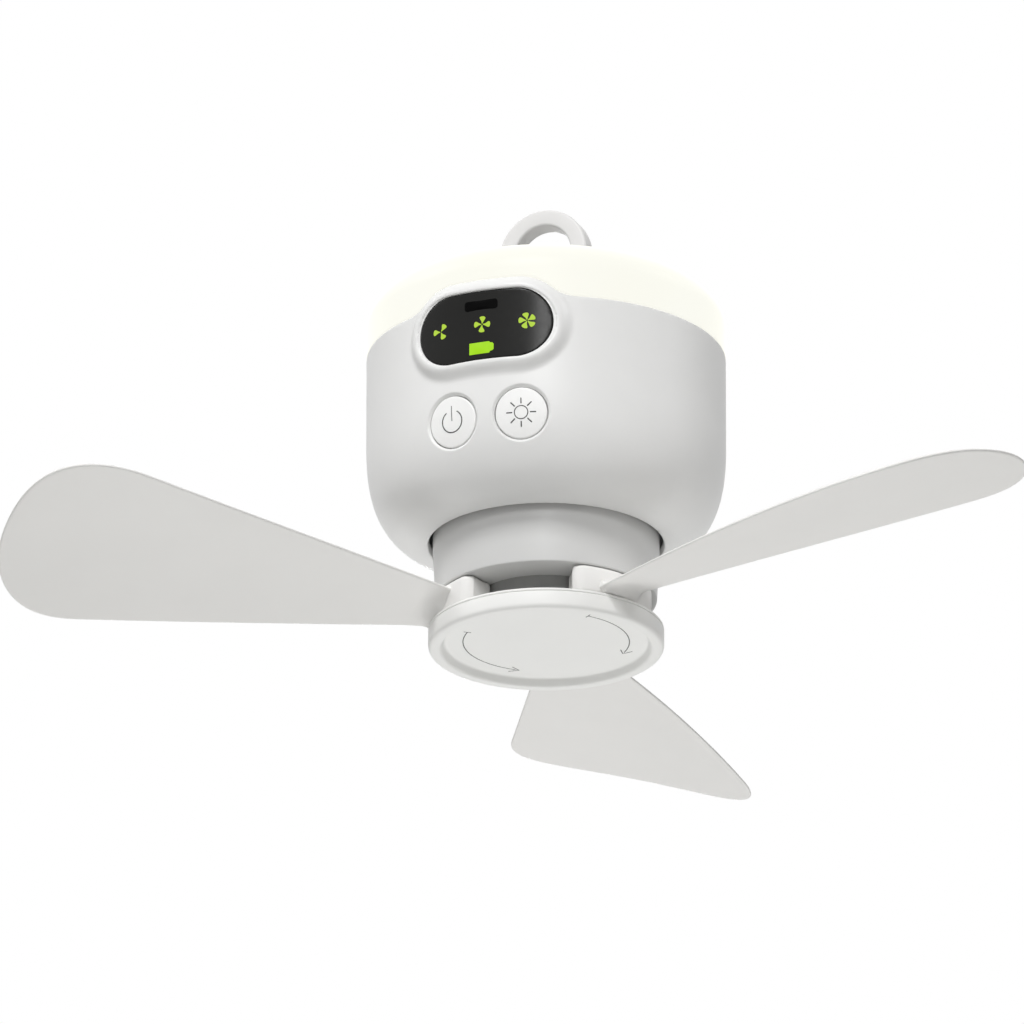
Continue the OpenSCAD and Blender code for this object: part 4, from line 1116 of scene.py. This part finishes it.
def makeCap(c):
    outer, top, face = c["radius"], c["top"], c["bottom"] + c["dish"]
    deep, bossTop = top - c["channelDepth"], top + c["bossHeight"]
    line = [top - drop for drop in c["lineDrops"]]
    ribOuter, ribInner = (c["ribRadius"] + way * c["ribWidth"] / 2 for way in (1, -1))
    # corners are (radius, height, rounding): the dish, the rim with its fine line, then the channels inside
    profile = roundedCorners([
        (0, face, 0), (c["faceRadius"], face, 1.0), (c["rimInner"], c["bottom"], 1.3),
        (outer, c["bottom"], 1.7), (outer, line[0], 0.08), (outer - c["lineDepth"], line[1], 0.05),
        (outer, line[2], 0.08), (outer, top, 0.3), (c["channelOuter"], top, 0.3),
        (c["channelOuter"], deep, 0.5), (ribOuter, deep, 0.5), (ribOuter, top, 0.3),
        (ribInner, top, 0.3), (ribInner, deep, 0.5), (c["channelInner"], deep, 0.5),
        (c["channelInner"], top, 0.3), (c["bossRadius"], top, 0.3), (c["bossRadius"], bossTop, 0.5),
        (0, bossTop, 0)])
    finishPiece(lathePiece("twist_cap", profile, "cap", 240), "cap", "cap", "cap_plastic", ["hub_cap"], 30)

    # lugs of the twist lock, copied round the boss
    half = math.radians(c["lugSpan"] / 2)
    root = c["bossRadius"] - c["lugRoot"]
    section = roundedRectangle(c["lugRadius"] - root, c["lugTo"] - c["lugFrom"], 0.3, 4)
    section = section + ((c["lugRadius"] + root) / 2, top + (c["lugFrom"] + c["lugTo"]) / 2)
    lugs = copyPiece("cap_lugs", swept(section, np.linspace(-half, half, 14)),
                     placesAround(nearAxis, c["lugAngles"], 0), "cap")
    finishPiece(lugs, "cap", "cap", "cap_plastic")

    strokes = []
    for start, end in c["arrows"]:
        a = np.radians(np.linspace(start, end, 60))
        arc = arcPoints(c["arrowRadius"], a)
        # open head just past the end of the arc, and a tick across its start
        tip, back = arc[-1] * c["headAhead"], a[-1] - math.copysign(math.pi / 2, end - start)
        arms = [tip + c["headLength"] * np.array((math.cos(back + lean), math.sin(back + lean)))
                for lean in np.radians((c["headLean"], -c["headLean"]))]
        head = np.concatenate([np.linspace(arms[0], tip, 5), np.linspace(tip, arms[1], 5)[1:]])
        tick = [arc[0] * (1 + t / c["arrowRadius"]) for t in np.linspace(-c["tick"], c["tick"], 5)]
        strokes += [arc[:-2], head, tick]
    marks = [inlay([strokeLoop(stroke, c["arrowLine"])], lambda p: flatLoop(p, face - c["arrowProud"]),
                   lambda p: flatLoop(p, face + c["arrowDepth"])) for stroke in strokes]
    makePiece("turn_arrows", joined(marks), "ink", "cap", "cap_plastic")


makeCap(cap)

# ---- blades ----

blade = {"azimuth": 99.7, "tip": 175.0, "tipRound": 35.0, "tipPower": 2.3, "chordRadius": 42.0,
         "leadWidth": 9.5, "leadGrow": 0.278, "trailWidth": 16, "trailGrow": 0.2336,
         "belly": 10, "bellyEnd": 0.9,
         "pitch": 11.7, "twist": 4.0, "rise": 4.0, "drop": 3.7, "camber": 6.2, "camberReach": 50,
         "thickness": 1.8, "featherWidth": 9, "featherPower": 0.7, "edge": 0.6,
         "filletOver": 1.5, "filletUnder": 7.0, "filletFade": 9.0, "rootOuter": 34.6, "rootInner": 23.0,
         "rootLow": -133.9, "rootHigh": -124.9, "rootSpan": 63.0, "rootShift": -4.5, "rootEdge": 1.3,
         "outerCorner": 4.0, "innerCorner": 2.0,
         "tongueIn": 12.0, "tongueWidth": 14.0, "tongueThick": 4.0, "tongueZ": -127.6,
         "tongueCorner": 1.2, "tongueEdge": 0.4,
         "rootRows": (33.0, 34.6, 34.7, 34.9, 35.2, 35.6, 36.1, 36.7, 37.4, 38.2, 39.1, 40.2, 41.6),
         "edgeRows": (0.95, 1.5, 2.6, 4.2)}


def bladeEdges(b, r):
    # leading and trailing edge at a radius, running together at the tip
    s = (r - b["chordRadius"]) / (b["tip"] - b["chordRadius"])
    past = np.clip((r - b["tip"] + b["tipRound"]) / b["tipRound"], 0, 1)
    narrow = (1 - past ** b["tipPower"]) ** (1 / b["tipPower"])
    lead = (b["leadWidth"] + b["leadGrow"] * (r - b["chordRadius"])) * narrow
    trail = -(b["trailWidth"] + b["trailGrow"] * (r - b["chordRadius"])
              + b["belly"] * np.maximum(0, s) * (b["bellyEnd"] - s)) * narrow
    return lead, trail


def bladeSheet(b, drumBottom):
    # sections across the blade, close together at the root and at the round tip
    atTip = lambda share: b["tip"] - b["tipRound"] * (1 - np.sin(share * math.pi / 2))
    rows = np.concatenate([b["rootRows"], np.arange(43.5, 140, 3.5), atTip(np.linspace(0, 0.993, 30))])
    fine = np.append(np.arange(30, 140, 0.5), atTip(np.linspace(0, 1, 150)))
    lead, trail = bladeEdges(b, fine)
    outline = np.concatenate([rowsOf(fine, lead), rowsOf(fine, trail)[::-1]])
    steps = np.append(b["edge"] * (1 - np.cos(np.linspace(0, math.pi / 2, 5))), b["edgeRows"])
    loops = []
    for r in rows:
        lead, trail = bladeEdges(b, r)
        near = steps * min(1, (lead - trail) / 12)       # closer together where the blade is narrow
        across = np.linspace(trail + near[-1], lead - near[-1], 28)[1:-1]
        w = np.concatenate([trail + near, across, (lead - near)[::-1]])
        inside = distanceTo(rowsOf(r, w), outline)
        rounding = np.sqrt(1 - (1 - np.minimum(inside / b["edge"], 1)) ** 2)
        feather = np.minimum(inside / b["featherWidth"], 1) ** b["featherPower"]
        half = b["thickness"] / 2 * (0.5 + 0.5 * feather)
        share = (r - b["chordRadius"]) / (b["tip"] - b["chordRadius"])
        p = math.radians(b["pitch"] + b["twist"] * share ** 2)
        middle = drumBottom - b["drop"] + math.tan(math.radians(b["rise"])) * (r - b["chordRadius"])
        sides = []
        for way, fillet in ((1, b["filletOver"]), (-1, b["filletUnder"])):
            close = min(max(b["rootOuter"] + fillet - r, 0), fillet)
            swell = (fillet - math.sqrt(fillet ** 2 - close ** 2)) * np.minimum(inside / fillet, 1)
            swell = swell * np.clip((lead - w) / b["filletFade"], 0, 1) if way < 0 else swell
            n = way * (half + swell) * rounding - b["camber"] * (w / b["camberReach"]) ** 2
            z = middle + w * math.sin(p) + n * math.cos(p)
            if close > 0:                                # the fillet stays within the height of the root
                z = np.clip(z, b["rootLow"] + 0.02, b["rootHigh"] - 0.02 + max(r - b["rootOuter"], 0) * 3)
            sides.append(rowsOf(r, w * math.cos(p) - n * math.sin(p), z))
        loops.append(np.concatenate([sides[0], sides[1][-2:0:-1]]))
    return loft(loops)


def rootLoop(b, inset):
    # ring sector with round ends, drawn in from its outline by an inset
    outerRound, innerRound = b["outerCorner"] - inset, b["innerCorner"] - inset
    outMid, inMid = b["rootOuter"] - b["outerCorner"], b["rootInner"] + b["innerCorner"]
    half = math.radians(b["rootSpan"] / 2) - math.asin(b["outerCorner"] / outMid)
    tangent = math.acos((outerRound - innerRound) / (outMid - inMid))
    arc = np.linspace(-half, half, 36)[1:-1]
    x, y = np.concatenate([arcPoints(outerRound, np.linspace(0, tangent, 14), outMid),
                           arcPoints(innerRound, np.linspace(tangent, math.pi, 12), inMid)]).T
    c, s = math.cos(half), math.sin(half)
    end = rowsOf(x * c - y * s, x * s + y * c)
    return np.concatenate([arcPoints(b["rootOuter"] - inset, arc), end,
                           arcPoints(b["rootInner"] + inset, arc[::-1]), end[::-1] * (1, -1)])


def softPrism(loopAt, low, high, edge):
    # upright solid with rounded top and bottom edges; loopAt gives its outline at an inset
    return loft([flatLoop(loopAt(edge * (1 - math.sin(f))), level + way * edge * (1 - math.cos(f)))
                 for level, way, quarter in ((low, 1, (0, math.pi / 2)), (high, -1, (math.pi / 2, 0)))
                 for f in np.linspace(*quarter, 5)])


def softBlock(length, width, corner, low, high, edge, steps=6, x=0.0):
    outline = lambda inset: roundedRectangle(length - 2 * inset, width - 2 * inset, corner, steps) + (x, 0)
    return softPrism(outline, low, high, edge)


def makeBlades(b, drumBottom):
    root = softPrism(lambda inset: rootLoop(b, inset), b["rootLow"], b["rootHigh"], b["rootEdge"])
    length, half = b["rootInner"] + 2 - b["tongueIn"], b["tongueThick"] / 2
    tongue = softBlock(length, b["tongueWidth"], b["tongueCorner"], b["tongueZ"] - half, b["tongueZ"] + half,
                       b["tongueEdge"], x=b["tongueIn"] + length / 2)
    shifted = [(turned(points, b["rootShift"]), faces) for points, faces in (root, tongue)]
    points, faces = joined([bladeSheet(b, drumBottom)] + shifted)
    for number, letter in enumerate("abc"):
        makePiece("paddle_" + letter, (turned(points, b["azimuth"] + 120 * number), faces), "blade",
                  "blade_" + letter, "blade_plastic", ["blade_%d" % (number + 1)])


makeBlades(blade, drum["bottom"])

# ---- screws and LEDs ----

screw = {"shank": 0.95, "pitch": 0.6, "threadDepth": 0.17, "rowHeight": 0.12,
         "tipStart": 0.35, "tipLength": 1.2, "head": 2.3, "headHeight": 1.6, "headEdge": 0.2, "headSide": 0.7,
         "shoulder": (0.95, 1.0), "crown": (0.84, 1.25),
         "crossWidth": 0.7, "crossLength": 2.76, "crossDepth": 0.6, "crossTaper": 0.92}
# length, radius and angles of the places, height, whether the head is down, and the solid it stands for
fixings = {"lamp": (8, housing["lampPosts"]["place"], housing["lampPosts"]["angles"], -47.8, False,
                    "base_screws"),
           "motor": (7, housing["motorPosts"]["place"], housing["motorPosts"]["angles"], -93.8, False,
                     "bracket_screws"),
           "hub": (10, 16.6, cap["lugAngles"], -131.2, True, "hub_screws")}
led = {"count": 24, "radius": 38.0, "base": -46.2, "length": 2.8, "width": 3.5, "height": 0.8, "corner": 0.35,
       "edge": 0.12, "lensProud": 0.08, "lensInset": 0.35, "lensFrom": 0.3}


def screwShape(s, length, count=24):
    # threaded shank with its tip down, under a domed head with a cross recess
    turn = np.arange(count) / count
    loops = []
    for z in np.arange(-length, 0.01, s["rowHeight"]):
        wave = np.abs(((z / s["pitch"] - turn) % 1) * 2 - 1)
        tip = min(1.0, s["tipStart"] + (z + length) / s["tipLength"])
        loops.append(rolledUp((s["shank"] - s["threadDepth"] * wave) * tip, 2 * math.pi * turn, z))
    head, (crown, crownZ) = s["head"], s["crown"]
    for r, z in ((head - s["headEdge"], 0), (head, s["headEdge"]), (head, s["headSide"]),
                 (head * s["shoulder"][0], s["shoulder"][1]), (head * crown, crownZ)):
        loops.append(flatLoop(circleLoop(r, count), z))
    a, b = s["crossWidth"] / 2, s["crossLength"] / 2
    cross = np.array([(a, a), (a, b), (-a, b), (-a, a), (-b, a), (-b, -a),
                      (-a, -a), (-a, -b), (a, -b), (a, -a), (b, -a), (b, a)])
    flat, triangles, _ = meshRegion([circleLoop(head * crown, count), cross], circleLoop(1.6, 16))
    domed = lambda p: crownZ + (s["headHeight"] - crownZ) * (1 - (np.hypot(*p.T) / head / crown) ** 2)
    recess = [rowsOf(*cross.T, domed(cross)),
              flatLoop(cross * s["crossTaper"], s["headHeight"] - s["crossDepth"])]
    return joined([loft(loops, True, False), (rowsOf(*flat.T, domed(flat)), triangles),
                   loft(recess, False, True)])


def makeFixings(s, groups):
    for group, (length, radius, angles, z, upsideDown, replaced) in groups.items():
        points, faces = screwShape(s, length)
        if upsideDown:
            points = np.array(points) * (1, -1, -1)
        piece = copyPiece(group + "_fixing_screws", (points, faces), placesAround(radius, angles, z), "screw")
        finishPiece(piece, "screw", "rotor" if upsideDown else "housing", "screw_steel", [replaced])


def makeLeds(e):
    spots = turned(flatLoop(circleLoop(e["radius"], e["count"]), e["base"]), 180 / e["count"])
    for name, finish, inset, low, high in (
            ("led_frames", "whiteBoard", 0.0, 0.0, e["height"] - e["lensProud"]),
            ("led_lenses", "phosphor", e["lensInset"], e["lensFrom"], e["height"])):
        shape = softBlock(e["length"] - 2 * inset, e["width"] - 2 * inset, e["corner"], low, high,
                          e["edge"], steps=4)
        finishPiece(copyPiece(name, shape, spots, finish), finish, "housing", "led_plastic", ["lamp_leds"])


makeFixings(screw, fixings)
makeLeds(led)

# ---- studio ----

# metres and watts; a softbox is its power, size and place
studio = {"floorZ": -2.7, "floorSize": 200.0, "floorGlow": 0.65, "glowStrength": 1.1, "rollerScale": 120.0,
          "rollerDepth": 0.0005, "ambient": 0.23, "aim": (0, 0, -0.08),
          "softboxes": {"key": (130.0, 1.2, (0.4, -3.5, 3.05)), "sheen": (37.0, 0.7, (1.45, -4.1, 1.6)),
                        "left": (31.0, 1.4, (-2.7, -1.0, 2.6)), "right": (20.0, 1.4, (2.8, 1.3, 2.2)),
                        "back": (38.0, 0.6, (-1.3, 3.7, 0.8)), "under": (11.4, 1.0, (-0.3, 0.8, -1.8))}}


def plainSight(tree):
    # 1 for what the camera, reflections and clear pieces see, 0 for the light that falls on things
    ray = addNode(tree, "ShaderNodeLightPath").outputs
    seen = addNode(tree, "ShaderNodeMath", links={0: ray["Is Camera Ray"], 1: ray["Is Glossy Ray"]},
                   operation="MAXIMUM")
    seen = addNode(tree, "ShaderNodeMath", links={0: seen, 1: ray["Is Transmission Ray"]},
                   operation="MAXIMUM")
    return seen


def makeStudio(s):
    # painted board far under the fan, seen paler than it is lit, and looked through from below
    reach = s["floorSize"] / 2 / mm
    corners = np.array([(-reach, -reach), (reach, -reach), (reach, reach), (-reach, reach)])
    floor = meshObject("studio_floor", flatLoop(corners, s["floorZ"] / mm), [(0, 1, 2, 3)])
    material, tree, principled, place = startMaterial("painted_board_white", "#f4f4f2", 0.9)
    roller = addNode(tree, "ShaderNodeTexNoise", {"Scale": s["rollerScale"]}, {"Vector": place})
    bump = addNode(tree, "ShaderNodeBump", {"Distance": s["rollerDepth"]}, {"Height": roller})
    tree.links.new(bump.outputs[0], principled.inputs["Normal"])
    share = addNode(tree, "ShaderNodeMath", {1: s["floorGlow"]}, {0: plainSight(tree)}, operation="MULTIPLY")
    glow = addNode(tree, "ShaderNodeEmission", {"Color": (1, 1, 1, 1), "Strength": s["glowStrength"]})
    paler = addNode(tree, "ShaderNodeMixShader", links={0: share, 1: principled,
                                                        2: glow})
    back = addNode(tree, "ShaderNodeNewGeometry").outputs["Backfacing"]
    clear = addNode(tree, "ShaderNodeBsdfTransparent")
    mixed = addNode(tree, "ShaderNodeMixShader", links={0: back, 1: paler, 2: clear})
    output = next(node for node in tree.nodes if node.type == "OUTPUT_MATERIAL")
    tree.links.new(mixed.outputs[0], output.inputs["Surface"])
    floor.data.materials.append(material)

    bpy.context.scene.view_settings.view_transform = "Standard"

    # even soft light all round; the camera and reflections meet plain white
    world = bpy.data.worlds.new("studio_world")
    bpy.context.scene.world = world
    world.use_nodes = True
    tree = world.node_tree
    tree.nodes.clear()
    soft = addNode(tree, "ShaderNodeBackground", {"Color": (1, 1, 1, 1), "Strength": s["ambient"]})
    white = addNode(tree, "ShaderNodeBackground", {"Color": (1, 1, 1, 1), "Strength": 1.0})
    mixed = addNode(tree, "ShaderNodeMixShader", links={0: plainSight(tree), 1: soft,
                                                        2: white})
    addNode(tree, "ShaderNodeOutputWorld", links={"Surface": mixed})

    for name, (power, size, place) in s["softboxes"].items():
        data = bpy.data.lights.new(name + "_softbox", "AREA")
        data.energy, data.size = power, size
        lamp = placeObject(name + "_softbox", data)
        lamp.location = place
        lamp.rotation_euler = (Vector(s["aim"]) - lamp.location).to_track_quat("-Z", "Y").to_euler()
    print("studio ready")


makeStudio(studio)
